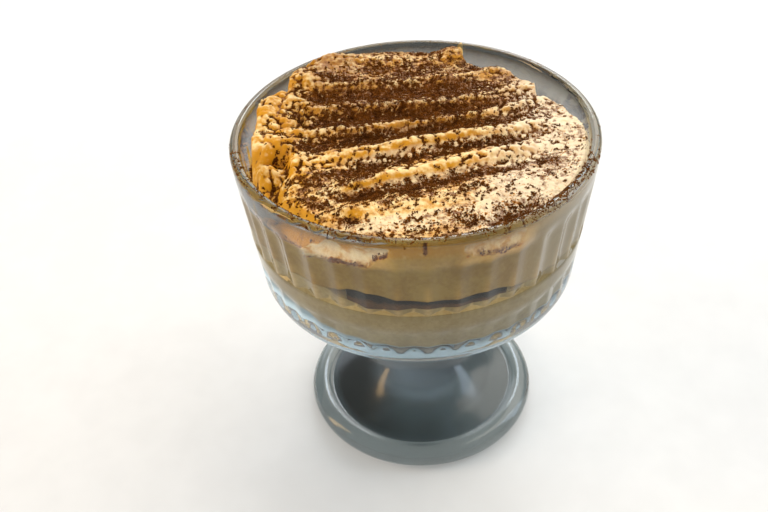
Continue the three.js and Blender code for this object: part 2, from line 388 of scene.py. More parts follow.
class NodeBoard:
    """Short hand for wiring shader nodes in a material or a node group."""

    def __init__(self, tree: bpy.types.NodeTree) -> None:
        """Keeps the tree that the nodes go in."""
        self.tree = tree

    def add(self, kind: str, **values: object) -> bpy.types.Node:
        """Adds a node.

        Args:
            kind: Blender's name for the node.
            values: Settings of the node itself.

        Returns:
            The node.
        """
        node = self.tree.nodes.new(kind)
        for name, value in values.items():
            setattr(node, name, value)
        return node

    def join(self, start: Socket, end: Socket) -> None:
        """Links one socket to another."""
        self.tree.links.new(start, end)

    def feed(self, socket: Socket, value: object) -> None:
        """Links a socket to another one, or sets its value where a plain value is given.

        Args:
            socket: The socket to feed.
            value: Another socket, or a plain value.
        """
        if isinstance(value, Socket):
            self.join(value, socket)
        else:
            socket.default_value = value

    def math(self, operation: str, first: object, second: object = 0.0) -> Socket:
        """Adds a sum.

        Args:
            operation: Blender's name for it.
            first: First number or socket.
            second: Second number or socket.

        Returns:
            The socket with the result.
        """
        node = self.add("ShaderNodeMath", operation=operation)
        self.feed(node.inputs[0], first)
        self.feed(node.inputs[1], second)
        return node.outputs[0]

    def span(
        self, value: object, low: object, high: object, to_low: float = 0.0, to_high: float = 1.0
    ) -> Socket:
        """Maps a range to another one, eased and held at its ends.

        Args:
            value: Number to map.
            low: Start of its range.
            high: End of its range.
            to_low: Result at the start.
            to_high: Result at the end.

        Returns:
            The socket with the result.
        """
        node = self.add("ShaderNodeMapRange", interpolation_type="SMOOTHSTEP")
        for socket, given in zip(node.inputs, (value, low, high, to_low, to_high)):
            self.feed(socket, given)
        return node.outputs["Result"]

    def noise(
        self, place: object, scale: object, detail: float = 2.0, rough: float = 0.5
    ) -> Socket:
        """Adds a noise texture.

        Args:
            place: Socket with the coordinates.
            scale: Waves a metre.
            detail: Octaves beyond the first.
            rough: Strength of the finer octaves.

        Returns:
            The noise, from 0 to 1.
        """
        node = self.add("ShaderNodeTexNoise")
        self.feed(node.inputs["Vector"], place)
        self.feed(node.inputs["Scale"], scale)
        self.feed(node.inputs["Detail"], detail)
        self.feed(node.inputs["Roughness"], rough)
        return node.outputs["Fac"]

    def blend(self, share: object, first: object, second: object) -> Socket:
        """Mixes two colours.

        Args:
            share: Share of the second.
            first: First colour or socket.
            second: Second colour or socket.

        Returns:
            The mixed colour.
        """
        node = self.add("ShaderNodeMix", data_type="RGBA")
        self.feed(node.inputs[0], share)
        self.feed(node.inputs[6], first)
        self.feed(node.inputs[7], second)
        return node.outputs[2]

    def read(self, name: str) -> Socket:
        """Reads a number that is stored on the piece."""
        return self.add("ShaderNodeAttribute", attribute_name=name).outputs["Fac"]

    def place(self) -> Socket:
        """Object coordinates."""
        return self.add("ShaderNodeTexCoord").outputs["Object"]

    def bump(self, height: Socket, strength: float, depth: float) -> Socket:
        """Adds a bump.

        Args:
            height: Socket with the height.
            strength: Share of the effect.
            depth: Size of a height of 1, in mm.

        Returns:
            The bumped normal.
        """
        node = self.add("ShaderNodeBump")
        node.inputs["Strength"].default_value = strength
        node.inputs["Distance"].default_value = depth * MM
        self.join(height, node.inputs["Height"])
        return node.outputs["Normal"]

    def group(self, tree: bpy.types.NodeTree, **values: object) -> bpy.types.Node:
        """Places a node group.

        Args:
            tree: The group.
            values: Its inputs by name.

        Returns:
            The group's node.
        """
        node = self.add("ShaderNodeGroup", node_tree=tree)
        for name, value in values.items():
            self.feed(node.inputs[name], value)
        return node


def new_group(name: str, inputs: dict[str, str], outputs: dict[str, str]) -> NodeBoard:
    """Starts a shader node group.

    Args:
        name: Name of the group.
        inputs: Socket types by name.
        outputs: Socket types by name.

    Returns:
        A board to wire it on.
    """
    tree = bpy.data.node_groups.new(name, "ShaderNodeTree")
    for way, sockets in (("INPUT", inputs), ("OUTPUT", outputs)):
        for socket, kind in sockets.items():
            tree.interface.new_socket(socket, in_out=way, socket_type=kind)
    return NodeBoard(tree)


class Effects:
    """Node groups that more than one finish uses."""

    STIR = 0.5 * MM
    FULL_GRAIN = 0.75
    HALO = 0.3

    def __init__(self) -> None:
        """Builds the groups."""
        self.dusting = self.build_dusting()
        self.mottle = self.build_mottle()

    def build_dusting(self) -> bpy.types.NodeTree:
        """Fine grains that gather into clumps: Cover says how much of the surface they hide.

        Returns:
            The group, which puts out the grains and a halo round them.
        """
        number = "NodeSocketFloat"
        board = new_group(
            "dusting",
            {
                "Place": "NodeSocketVector", "Cover": number, "Coarse": number, "Clump": number,
                "Grain": number, "Edge": number,
            },
            {"Mask": number, "Halo": number},
        )
        given = board.add("NodeGroupInput")
        put = board.add("NodeGroupOutput")
        stir = board.add("ShaderNodeTexNoise")
        board.join(given.outputs["Place"], stir.inputs["Vector"])
        board.join(given.outputs["Clump"], stir.inputs["Scale"])
        shift = board.add("ShaderNodeVectorMath", operation="MULTIPLY_ADD")
        board.join(stir.outputs["Color"], shift.inputs[0])
        shift.inputs[1].default_value = (self.STIR, self.STIR, self.STIR)
        board.join(given.outputs["Place"], shift.inputs[2])
        place = shift.outputs[0]
        specks = []
        halos = []
        coarse = board.math("MULTIPLY", given.outputs["Cover"], given.outputs["Coarse"])
        for size, cover in (("Clump", coarse), ("Grain", given.outputs["Cover"])):
            cells = board.add("ShaderNodeTexVoronoi")
            board.join(place, cells.inputs["Vector"])
            board.join(given.outputs[size], cells.inputs["Scale"])
            pick = board.add("ShaderNodeSeparateColor")
            board.join(cells.outputs["Color"], pick.inputs[0])
            spare = board.math("SUBTRACT", 1.0, cover)
            reach = board.span(board.math("SUBTRACT", pick.outputs[0], spare), 0.0, self.FULL_GRAIN)
            inner = board.math("SUBTRACT", reach, given.outputs["Edge"])
            outer = board.math("ADD", reach, self.HALO)
            specks.append(board.math("SUBTRACT", 1.0, board.span(cells.outputs["Distance"], inner, reach)))
            near = board.math("SUBTRACT", 1.0, board.span(cells.outputs["Distance"], reach, outer))
            halos.append(board.math("MULTIPLY", near, board.span(reach, 0.0, 0.1)))
        board.join(board.math("MAXIMUM", *specks), put.inputs["Mask"])
        board.join(board.math("MAXIMUM", *halos), put.inputs["Halo"])
        return board.tree

    def build_mottle(self) -> bpy.types.NodeTree:
        """Broad and fine unevenness of a colour, from 0 to 1.

        Returns:
            The group.
        """
        number = "NodeSocketFloat"
        board = new_group(
            "mottle", {"Place": "NodeSocketVector", "Broad": number, "Fine": number}, {"Share": number}
        )
        given = board.add("NodeGroupInput")
        put = board.add("NodeGroupOutput")
        broad = board.noise(given.outputs["Place"], given.outputs["Broad"], 2.0, 0.5)
        fine = board.noise(given.outputs["Place"], given.outputs["Fine"], 2.0, 0.6)
        both = board.math("ADD", board.math("MULTIPLY", broad, 0.6), board.math("MULTIPLY", fine, 0.4))
        board.join(board.span(both, 0.34, 0.66), put.inputs["Share"])
        return board.tree

    def mottled(self, board: NodeBoard, place: Socket, waves: Pair) -> Socket:
        """Places the mottle on a board."""
        return board.group(self.mottle, Place=place, Broad=waves[0], Fine=waves[1]).outputs["Share"]


def new_material(name: str) -> tuple[Material, NodeBoard, bpy.types.Node]:
    """Starts a material.

    Args:
        name: Name of the material.

    Returns:
        The material, a board to wire it on and its Principled shader.
    """
    material = bpy.data.materials.new(name)
    material.use_nodes = True
    return material, NodeBoard(material.node_tree), material.node_tree.nodes["Principled BSDF"]


@dataclass(frozen=True)
class GlassFinish:
    """Pressed soda glass with a smoky blue cast and faint handling marks."""

    tint: Colour = (92, 98, 100)
    clear_and_glow: Colour = (255, 255, 255)
    shade: Colour = (244, 246, 246)
    foot_tint: Colour = (127, 139, 143)
    foot_glow: Colour = (242, 255, 255)
    # Colour of the painted shade.
    painted_shade: Colour = (60, 55, 44)
    foot_shade: Colour = (188, 191, 191)
    refraction: float = 1.5
    smudges: Pair = (0.008, 0.04)
    worn: Pair = (0.17, 0.12)
    mark_waves: float = 90.0
    ripple_waves: float = 60.0
    ripple_depth: float = 0.25

    def material(self) -> Material:
        """Builds the material: see-through for the eye, plainly tinted for the light that goes through it.

        Returns:
            The material, which reads from the piece the share of untinted glass and painted light, the foot
            and the painted shade.
        """
        material, board, shader = new_material("pressed_glass")
        place = board.place()
        foot, clear_and_glow_share = board.read("foot"), board.read("clear_and_glow")
        tint = board.blend(foot, linear(*self.tint), linear(*self.foot_tint))
        # Painted shade: a dark tint on the stem, the left of the plate and the back of the bowl.
        tint = board.blend(board.read("painted_shade"), tint, linear(*self.painted_shade))
        # Painted light: where marked, the tint gives way to untinted glass, bluish on the foot.
        clearest = board.blend(foot, linear(*self.clear_and_glow), linear(*self.foot_glow))
        board.join(board.blend(clear_and_glow_share, tint, clearest), shader.inputs["Base Color"])
        shader.inputs["Transmission Weight"].default_value = 1.0
        shader.inputs["IOR"].default_value = self.refraction
        marks = board.noise(place, self.mark_waves, 3.0, 0.6)
        worn = board.math("MULTIPLY", foot, board.span(clear_and_glow_share, 0.0, 0.6, *self.worn))
        smudged = board.span(marks, 0.5, 0.75, *self.smudges)
        board.join(board.math("ADD", smudged, worn), shader.inputs["Roughness"])
        ripple = board.noise(place, self.ripple_waves, 1.0, 0.4)
        board.join(board.bump(ripple, 0.25, self.ripple_depth), shader.inputs["Normal"])
        through = board.add("ShaderNodeBsdfTransparent")
        shade = board.blend(foot, linear(*self.shade), linear(*self.foot_shade))
        board.join(shade, through.inputs["Color"])
        rays = board.add("ShaderNodeLightPath")
        lit = board.math("MAXIMUM", rays.outputs["Is Shadow Ray"], rays.outputs["Is Diffuse Ray"])
        choose = board.add("ShaderNodeMixShader")
        for start, end in zip((lit, shader.outputs[0], through.outputs[0]), choose.inputs):
            board.join(start, end)
        board.join(choose.outputs[0], material.node_tree.nodes["Material Output"].inputs["Surface"])
        return material


@dataclass(frozen=True)
class CreamFinish:
    """Whipped mascarpone cream with cocoa on it, golden partly by its own tone and partly by painted shade.
    """

    name: str
    pale: Colour
    golden: Colour
    second: Colour
    # The side colours, seen through the glass, are darker and more golden than the top: partly the cream's
    # own colour, partly painted shade.
    side: Colour = (202, 164, 80)
    side_dark: Colour = (177, 136, 55)
    cocoa: Colour = (66, 32, 4)
    cocoa_light: Colour = (116, 64, 14)
    thin_cocoa: Colour = (150, 88, 20)
    veil: Colour = (118, 67, 13)
    halo: Colour = (202, 130, 28)
    clump: float = 1050.0
    grain: float = 2500.0
    edge: float = 0.26
    roughness: Pair = (0.5, 0.95)
    gloss: Pair = (0.35, 0.08)
    mottle_share: float = 0.5
    veil_span: Pair = (0.28, 0.85)
    veil_most: float = 0.9
    haze_unevenness: float = 1.6
    thick_span: Pair = (0.25, 0.75)
    thick_coarse: float = 0.3
    subsurface: float = 0.08
    subsurface_radius: Colour = (1.0, 0.7, 0.35)
    subsurface_scale: float = 2.0
    mottle_waves: Pair = (120.0, 800.0)
    stain_waves: float = 700.0
    stain_depth: float = 0.28
    bump_waves: float = 900.0
    bump_depth: float = 0.35

    def material(self, effects: Effects) -> Material:
        """Builds the material.

        Args:
            effects: The shared node groups.

        Returns:
            The material, which reads tone, second, side, haze, coarse and cocoa from the piece.
        """
        material, board, shader = new_material(self.name)
        place = board.place()
        mottle = effects.mottled(board, place, self.mottle_waves)
        smudges = board.noise(place, self.stain_waves, 3.0, 0.6)
        stain = board.span(smudges, 0.3, 0.7, -self.stain_depth, self.stain_depth)
        # Tone turns the cream golden, partly as painted shade; second turns it whiter or bluer, partly as
        # painted highlights and reflections.
        tone = board.math("ADD", board.read("tone"), board.math("MULTIPLY", mottle, self.mottle_share))
        tone = board.math("ADD", tone, stain)
        cream = board.blend(board.span(tone, 0.0, 1.0), linear(*self.pale), linear(*self.golden))
        cream = board.blend(board.read("second"), cream, linear(*self.second))
        side = board.blend(mottle, linear(*self.side), linear(*self.side_dark))
        cream = board.blend(board.read("side"), cream, side)
        cover = board.read("cocoa")
        dusting = board.group(
            effects.dusting, Place=place, Cover=cover, Coarse=board.read("coarse"), Clump=self.clump,
            Grain=self.grain, Edge=self.edge,
        )
        mask = dusting.outputs["Mask"]
        cream = board.blend(dusting.outputs["Halo"], cream, linear(*self.halo))
        veiled = board.span(board.math("ADD", cover, stain), *self.veil_span, 0.0, self.veil_most)
        uneven = board.math("ADD", board.math("MULTIPLY", stain, self.haze_unevenness), 1.0)
        haze = board.math("MULTIPLY", board.read("haze"), uneven)
        cream = board.blend(board.math("MAXIMUM", veiled, haze), cream, linear(*self.veil))
        powder = board.blend(mottle, linear(*self.cocoa), linear(*self.cocoa_light))
        thick = board.math("ADD", board.math("MULTIPLY", board.read("coarse"), self.thick_coarse), cover)
        powder = board.blend(board.span(thick, *self.thick_span), linear(*self.thin_cocoa), powder)
        board.join(board.blend(mask, cream, powder), shader.inputs["Base Color"])
        board.join(board.span(mask, 0.0, 1.0, *self.roughness), shader.inputs["Roughness"])
        fine = board.noise(place, self.bump_waves, 3.0, 0.6)
        height = board.math("ADD", board.math("MULTIPLY", fine, 0.5), board.math("MULTIPLY", mask, 0.5))
        board.join(board.bump(height, 0.6, self.bump_depth), shader.inputs["Normal"])
        shader.inputs["Subsurface Weight"].default_value = self.subsurface
        shader.inputs["Subsurface Radius"].default_value = self.subsurface_radius
        shader.inputs["Subsurface Scale"].default_value = self.subsurface_scale * MM
        board.join(board.span(mask, 0.0, 1.0, *self.gloss), shader.inputs["Specular IOR Level"])
        return material


@dataclass(frozen=True)
class SpongeFinish:
    """Soaked sponge: near black along its top, brown crumb below."""

    dark_top: Colour = (15, 13, 10)
    crumb: Colour = (84, 54, 26)
    pale_crumb: Colour = (122, 86, 48)
    mottle_waves: Pair = (260.0, 1300.0)
    hole_waves: float = 1100.0
    hole_depth: float = 0.5
    ragged: float = 0.25
    dark_top_span: Pair = (0.45, 0.75)
    roughness: Pair = (0.75, 0.3)

    def material(self, effects: Effects) -> Material:
        """Builds the material.

        Args:
            effects: The shared node groups.

        Returns:
            The material, which reads how far up the edge of the sponge a point is.
        """
        material, board, shader = new_material("soaked_sponge")
        place = board.place()
        mottle = effects.mottled(board, place, self.mottle_waves)
        crumb = board.blend(mottle, linear(*self.crumb), linear(*self.pale_crumb))
        level = board.math("ADD", board.read("level"), board.math("MULTIPLY", mottle, self.ragged))
        # Near black towards the top edge, and glossier there.
        dark_top = board.span(level, *self.dark_top_span)
        board.join(board.blend(dark_top, crumb, linear(*self.dark_top)), shader.inputs["Base Color"])
        board.join(board.span(dark_top, 0.0, 1.0, *self.roughness), shader.inputs["Roughness"])
        holes = board.noise(place, self.hole_waves, 2.0, 0.6)
        board.join(board.bump(holes, 0.7, self.hole_depth), shader.inputs["Normal"])
        return material


@dataclass(frozen=True)
class CocoaFinish:
    """Dry cocoa powder in grains and clumps."""

    dark: Colour = (70, 35, 6)
    light: Colour = (114, 65, 16)
    mottle_waves: Pair = (300.0, 2400.0)
    roughness: Pair = (0.85, 1.0)
    gloss: float = 0.08

    def material(self, effects: Effects) -> Material:
        """Builds the material.

        Args:
            effects: The shared node groups.

        Returns:
            The material.
        """
        material, board, shader = new_material("cocoa_powder")
        mottle = effects.mottled(board, board.place(), self.mottle_waves)
        powder = board.blend(mottle, linear(*self.dark), linear(*self.light))
        board.join(powder, shader.inputs["Base Color"])
        board.join(board.span(mottle, 0.0, 1.0, *self.roughness), shader.inputs["Roughness"])
        shader.inputs["Specular IOR Level"].default_value = self.gloss
        return material


@dataclass(frozen=True)
class FloorFinish:
    """Matt pale paint with the faintest unevenness."""

    pale: Colour = (226, 226, 225)
    grey: Colour = (220, 220, 219)
    mottle_waves: Pair = (6.0, 60.0)
    roughness: float = 0.9

    def material(self, effects: Effects) -> Material:
        """Builds the material.

        Args:
            effects: The shared node groups.

        Returns:
            The material.
        """
        material, board, shader = new_material("pale_floor")
        mottle = effects.mottled(board, board.place(), self.mottle_waves)
        board.join(board.blend(mottle, linear(*self.pale), linear(*self.grey)), shader.inputs["Base Color"])
        shader.inputs["Roughness"].default_value = self.roughness
        return material


@dataclass
class Coupe:
    """The footed pressed-glass bowl."""

    height: float = 107.6
    rim_radius: float = 52.6
    wall: float = 3.2
    wall_slope: float = 0.108
    bowl_corner: Pair = (41.3, 64.3)
    bowl_corner_radius: float = 7.0
    inner_corner: Pair = (39.6, 70.0)
    inner_corner_radius: float = 6.0
    inner_slope: float = 0.1056
    floor_dip: float = 0.5
    stem_curve: Ring = (
        (31, 5.6), (24.5, 8), (17.5, 12.2), (12.6, 18.5), (10, 28), (12, 42.5), (21, 52), (33, 56.2),
    )
    bead: Pair = (33.9, 3.7)
    bead_width: float = 4.0
    bead_height: float = 3.7
    # Glows below make the glass clearer in places to paint light: bead glints, light through ledges and
    # ridges, base and lip reflections, a plate sheen, brighter folds.
    bead_glow: Ring = (
        (-180, 0.75), (-150, 0.66), (-120, 0.98), (-98, 0.76), (-75, 0.76), (-55, 1.0), (-42, 0.84),
        (-28, 0.98), (0, 0.75), (90, 0.75),
    )
    ledge_glow: Ring = ((-125, 0.08), (-112, 0.28), (-62, 0.28), (-50, 0.08))
    base_glow: Ring = ((-150, 1.0), (-118, 0.85), (-95, 0.55), (-60, 0.55), (0, 0.65), (90, 0.65))
    base_top: Ring = ((-170, 71.5), (-140, 71.5), (-112, 68.5), (-95, 67.5), (0, 68), (155, 67.5))
    fold_windows: Ring = (
        (-134, 0), (-126, 0.6), (-101, 0.6), (-95, 0.1), (-80, 0.1), (-75, 0.5), (-59, 0.5), (-53, 0),
    )
    lip_glow: Ring = ((-175, 0), (-150, 0.12), (-30, 0.12), (-5, 0))
    ridge_glow: float = 0.16
    ridge_width: float = 0.22
    plate_glow: float = 0.12
    clear_top: Pair = (102.5, 105)
    base_foot: Pair = (57, 58)
    base_soft: float = 3.0
    fold_foot: Pair = (97, 99.5)
    fold_top: Pair = (104, 106)
    ridge_top: Pair = (85, 94)
    lip_foot: Pair = (104, 105.5)
    foot_top: float = 8.5
    foot_tinted: Pair = (50, 58)
    stem_tinted: float = 0.35
    stem_foot: Pair = (14, 30)
    stem_top: Pair = (53, 57)
    # Painted shade on the stem, the left of the plate and the back of the bowl.
    stem_shade: float = 0.8
    plate_shade: Pair = (0.82, 0.34)
    plate_radius: float = 31.0
    back_shade: float = 0.6
    recess_radius: float = 30.5
    recess_depth: float = 3.0
    flutes: int = 40
    flute_depth: float = 0.9
    flute_foot: float = 80.5
    flute_fade: Pair = (96.0, 102.0)
    teeth_top: float = 74.0
    teeth_length: float = 2.6
    teeth_depth: float = 0.6
    teeth_fade: Pair = (64.5, 68.5)
    ledge_slope: float = 0.8
    first_ridge: float = -87.3
    steps_per_flute: int = 10

    def outer_radius(self, height: Array) -> Array:
        """Outer radius of the plain wall before its relief is pressed in."""
        across, up = self.bowl_corner
        return across + self.bowl_corner_radius + self.wall_slope * (height - up)

    def inner_radius(self, height: Array) -> Array:
        """Radius of the inside of the bowl at a height.

        Args:
            height: Heights in mm.

        Returns:
            The radius at each height, in mm.
        """
        up = np.asarray(height, dtype=float) - self.inner_corner[1]
        straight = self.inner_corner[0] + self.inner_corner_radius + self.inner_slope * up
        curved = self.inner_corner[0] + np.sqrt(np.maximum(0, self.inner_corner_radius**2 - up**2))
        return np.where(up >= 0, straight, curved)

    def from_ridge(self, azimuth: Array) -> Array:
        """How far each azimuth is from a ridge: 0 on it, 1 in the middle of a flute."""
        across = ((azimuth - self.first_ridge) * self.flutes / 360) % 1
        return 2 * np.minimum(across, 1 - across)

    def relief(self, azimuth: Array, height: Array) -> Array:
        """Depth of the pressed relief: hollow flutes that end on a ledge, and pointed teeth.

        Args:
            azimuth: Azimuths in degrees.
            height: Heights in mm.

        Returns:
            How far each point moves in.
        """
        from_ridge = self.from_ridge(azimuth)
        section = mix(from_ridge * (2 - from_ridge), ease(from_ridge, 0, 1), 0.5)
        hollow = self.flute_depth * section * fade(height, *self.flute_fade)
        flute = np.minimum(hollow, self.ledge_slope * (height - self.flute_foot))
        run = np.clip((self.teeth_top - height) / self.teeth_length, 0, 1)
        teeth = self.teeth_depth * np.minimum(from_ridge, run) * ease(height, *self.teeth_fade)
        return np.where(height > self.flute_foot, flute, teeth)

    def clearness_and_glow(self, points: Array) -> Array:
        """How little each point of the glass tints what is seen through it, with painted light outside the
        bowl.

        Args:
            points: Rows of x, y, z.

        Returns:
            1 on the inside of the bowl, less on ledges, ridges, base, bead, plate, lip and by the folds,
            where it paints light, else 0.
        """
        azimuth, height = azimuth_of(points), points[:, 2]
        radius = np.hypot(points[:, 0], points[:, 1])
        depth = self.inner_radius(height) + self.wall / 2 - radius
        below_lip = (height > self.bowl_corner[1] - 1.5) * fade(height, *self.clear_top)
        inside = ease(depth, -0.5, 0.5) * below_lip
        above = height - self.flute_foot
        pressed = self.outer_radius(height) - radius
        # Painted light: ledges, base, folds, bead, plate, ridges and lip are made clearer than the glass
        # is.
        ledge = (above > 0.05) * (pressed > 0.1) * (pressed > self.ledge_slope * above - 0.05)
        ledge = ledge * around(self.ledge_glow, azimuth)
        base_top = around(self.base_top, azimuth)
        base = around(self.base_glow, azimuth) * fade(height, base_top - self.base_soft, base_top)
        base = base * ease(height, *self.base_foot)
        windows = around(self.fold_windows, azimuth) * (depth < 0)
        windows = windows * ease(height, *self.fold_foot) * fade(height, *self.fold_top)
        bead = around(self.bead_glow, azimuth) * ease(radius, 30, 33)
        bead = bead * mix(0.55, 1.0, ease(height, 0.8, 4.5))
        bead = (height < self.foot_top) * np.maximum(bead, self.plate_glow * ease(points[:, 0], 4, 20))
        ridge = self.ridge_glow * hill(self.from_ridge(azimuth), 0, self.ridge_width)
        ridge = ridge * fade(height, *self.ridge_top) * (above > 0) * (depth < 0)
        lip = around(self.lip_glow, azimuth) * ease(height, *self.lip_foot)
        return np.clip(np.maximum.reduce([inside, ledge, base, windows, bead, ridge, lip]), 0, 1)

    def profile(self) -> list[Pair]:
        """Half section of the glass, from the middle of the foot round to the floor of the bowl.

        Returns:
            Pairs of radius and height, in mm.
        """
        shares = np.linspace(0, 1, 9)
        recess = [(s * self.recess_radius, self.recess_depth * (1 - s * s)) for s in shares]
        bead = arc(self.bead, self.bead_width, self.bead_height, -90, 120, 22)
        stem = flowing(self.stem_curve, 6)
        corner = arc(self.bowl_corner, self.bowl_corner_radius, self.bowl_corner_radius, -90, 0, 12)
        ledge = self.flute_foot
        heights = np.concatenate([
            np.linspace(65, self.teeth_top, 14),
            np.linspace(self.teeth_top, ledge, 5)[1:],
            np.linspace(ledge, ledge + self.flute_depth / self.ledge_slope, 14)[1:],
            np.linspace(ledge + self.flute_depth / self.ledge_slope, self.flute_fade[0], 9)[1:],
            np.linspace(*self.flute_fade, 7)[1:],
        ])
        wall = [(float(self.outer_radius(z)), float(z)) for z in heights]
        lip = (self.rim_radius - self.wall / 2, self.height - self.wall / 2)
        round_lip = arc(lip, self.wall / 2, self.wall / 2, 0, 180, 14)
        rows = np.linspace(lip[1], self.inner_corner[1], 10)
        inside = [(float(self.inner_radius(z)), float(z)) for z in rows]
        hollow = arc(self.inner_corner, self.inner_corner_radius, self.inner_corner_radius, 0, -90, 8)
        floor = hollow[-1]
        middle = [(floor[0] * (1 - s), floor[1] - self.floor_dip * s) for s in (0.35, 0.7, 1.0)]
        return [*recess, *bead, *stem, *corner, *wall, *round_lip, *inside[1:], *hollow[1:], *middle]

    def press(self, points: Array) -> Array:
        """Presses the relief into the outside of the bowl.

        Args:
            points: Rows of x, y, z.

        Returns:
            The moved rows.
        """
        radius = np.hypot(points[:, 0], points[:, 1])
        height = points[:, 2]
        outside = radius > self.inner_radius(np.maximum(height, self.inner_corner[1])) + 0.5
        across, up = self.bowl_corner
        bowl = outside & (height > up - self.bowl_corner_radius) & (radius > across)
        bowl &= height < self.flute_fade[1] + 0.01
        depth = np.where(bowl, self.relief(azimuth_of(points), height), 0)
        pressed = points.copy()
        pressed[:, :2] *= ((radius - depth) / np.maximum(radius, 1e-9))[:, None]
        return pressed

    def build(self, finish: GlassFinish) -> Piece:
        """Models and dresses the glass.

        Args:
            finish: Its material.

        Returns:
            The glass.
        """
        shape = revolve(self.profile(), self.flutes * self.steps_per_flute)
        reshape(shape, self.press)
        bmesh.ops.recalc_face_normals(shape, faces=shape.faces)
        glass = piece_from("pressed_glass_coupe", shape, "glass")
        places = vertex_places(glass)
        height = places[:, 2]
        # Untinted inside the bowl; painted light on the ledges, ridges, base, bead, plate, lip and by the
        # folds.
        paint(glass, "clear_and_glow", self.clearness_and_glow(places))
        foot = fade(height, *self.foot_tinted) * mix(1.0, self.stem_tinted, ease(height, 10, 30))
        paint(glass, "foot", foot)
        # Painted shade on the stem, the left of the plate and the back of the bowl.
        paint(glass, "painted_shade", self.painted_shading(places))
        glass.data.materials.append(finish.material())
        return glass

    def painted_shading(self, points: Array) -> Array:
        """How much painted shade darkens each point of the glass: the stem, the left of the foot and the
        back.

        Args:
            points: Rows of x, y, z.

        Returns:
            The share of painted shade, from 0 to 1.
        """
        x, y, height = points.T
        plate = mix(*self.plate_shade, ease(x, -20, -2)) * fade(x, 0, 14)
        plate = plate * ease(self.plate_radius - np.hypot(x, y), 0, 3) * fade(height, *self.stem_foot)
        stem = self.stem_shade * ease(height, *self.stem_foot) * fade(height, *self.stem_top)
        back = self.back_shade * ease(y, 5, 30) * ease(height, 85, 95)
        return np.maximum.reduce([stem, plate, back])


@dataclass
class SpongeLayer:
    """The soaked sponge that lies through the cream, its front edge against the glass."""

    coupe: Coupe
    level: float = 83.4
    tilt: float = -0.045
    half: float = 2.5
    recess: float = 6.0
    front: float = -87.0
    reach: float = 30.5
    ends: float = 5.0
    hidden_edge: float = 1.2
    shown_edge: float = 1.4
    over: tuple[Bump, ...] = (Bump(-108, 1.5, 9), Bump(-68, 0.9, 6))
    under: tuple[Bump, ...] = (Bump(-104, 1.7, 8), Bump(-64, -0.9, 6))
    into_wall: float = 0.22
    steps: int = 360

    def layer_height(self, x: Array) -> Array:
        """Height of the tilted plane that the layer lies in."""
        return self.level + self.tilt * x

    def shows(self, azimuth: Array) -> Array:
        """How much of the sponge reaches the glass: 1 at the front, 0 elsewhere."""
        away = np.abs(turn_between(self.front, azimuth))
        return fade(away, self.reach - self.ends, self.reach + self.ends)

    def half_thickness(self, azimuth: Array, above: bool) -> Array:
        """Thickness above or below the plane where the sponge meets the glass."""
        ring = self.over if above else self.under
        return (self.shown_edge + bumps(ring, azimuth)) * self.shows(azimuth)

    def wall_line(self, points: Array, above: bool) -> Array:
        """Height along the glass of the top or the underside of the sponge."""
        thick = self.half_thickness(azimuth_of(points), above)
        return self.layer_height(points[:, 0]) + (thick if above else -thick)

    def lay(self, points: Array) -> Array:
        """Gives the spun disc its uneven edge and thickness.

        Args:
            points: Rows whose radius is a share of the edge and whose z is -1 below and 1 above.

        Returns:
            The rows in mm.
        """
        share = np.hypot(points[:, 0], points[:, 1])
        azimuth = azimuth_of(points)
        shows = self.shows(azimuth)
        reach = self.coupe.inner_radius(self.level) + self.into_wall - (self.recess + 0.5) * (1 - shows)
        side = points[:, 2]
        shown = np.where(side > 0, self.half_thickness(azimuth, True), self.half_thickness(azimuth, False))
        edge = mix(self.hidden_edge, shown, shows)
        thick = mix(self.half, edge, ease(share, 0.75, 1.0))
        laid = np.empty_like(points)
        radius = share * reach
        laid[:, 0] = radius * np.cos(np.radians(azimuth))
        laid[:, 1] = radius * np.sin(np.radians(azimuth))
        laid[:, 2] = self.layer_height(laid[:, 0]) + side * thick
        slope = self.coupe.inner_slope * (laid[:, 2] - self.level) * ease(share, 0.9, 1.0) * shows
        laid[:, :2] *= (1 + slope / np.maximum(radius, 1))[:, None]
        return laid

    def build(self, finish: SpongeFinish, effects: Effects) -> Piece:
        """Models and dresses the sponge.

        Args:
            finish: Its material.
            effects: The shared node groups.

        Returns:
            The sponge.
        """
        shares = [0, 0.25, 0.5, 0.75, 0.84, 0.92, 0.97, 1]
        sides = np.linspace(-1, 1, 9)[1:-1]
        profile = [(s, -1.0) for s in shares] + [(1.0, z) for z in sides] + [(s, 1.0) for s in shares[::-1]]
        shape = revolve(profile, self.steps)
        levels = np.array([vert.co.z for vert in shape.verts]) / MM
        reshape(shape, self.lay)
        sponge = piece_from("soaked_sponge_layer", shape, "sponge")
        paint(sponge, "level", 0.5 + 0.5 * levels)
        sponge.data.materials.append(finish.material(effects))
        return sponge


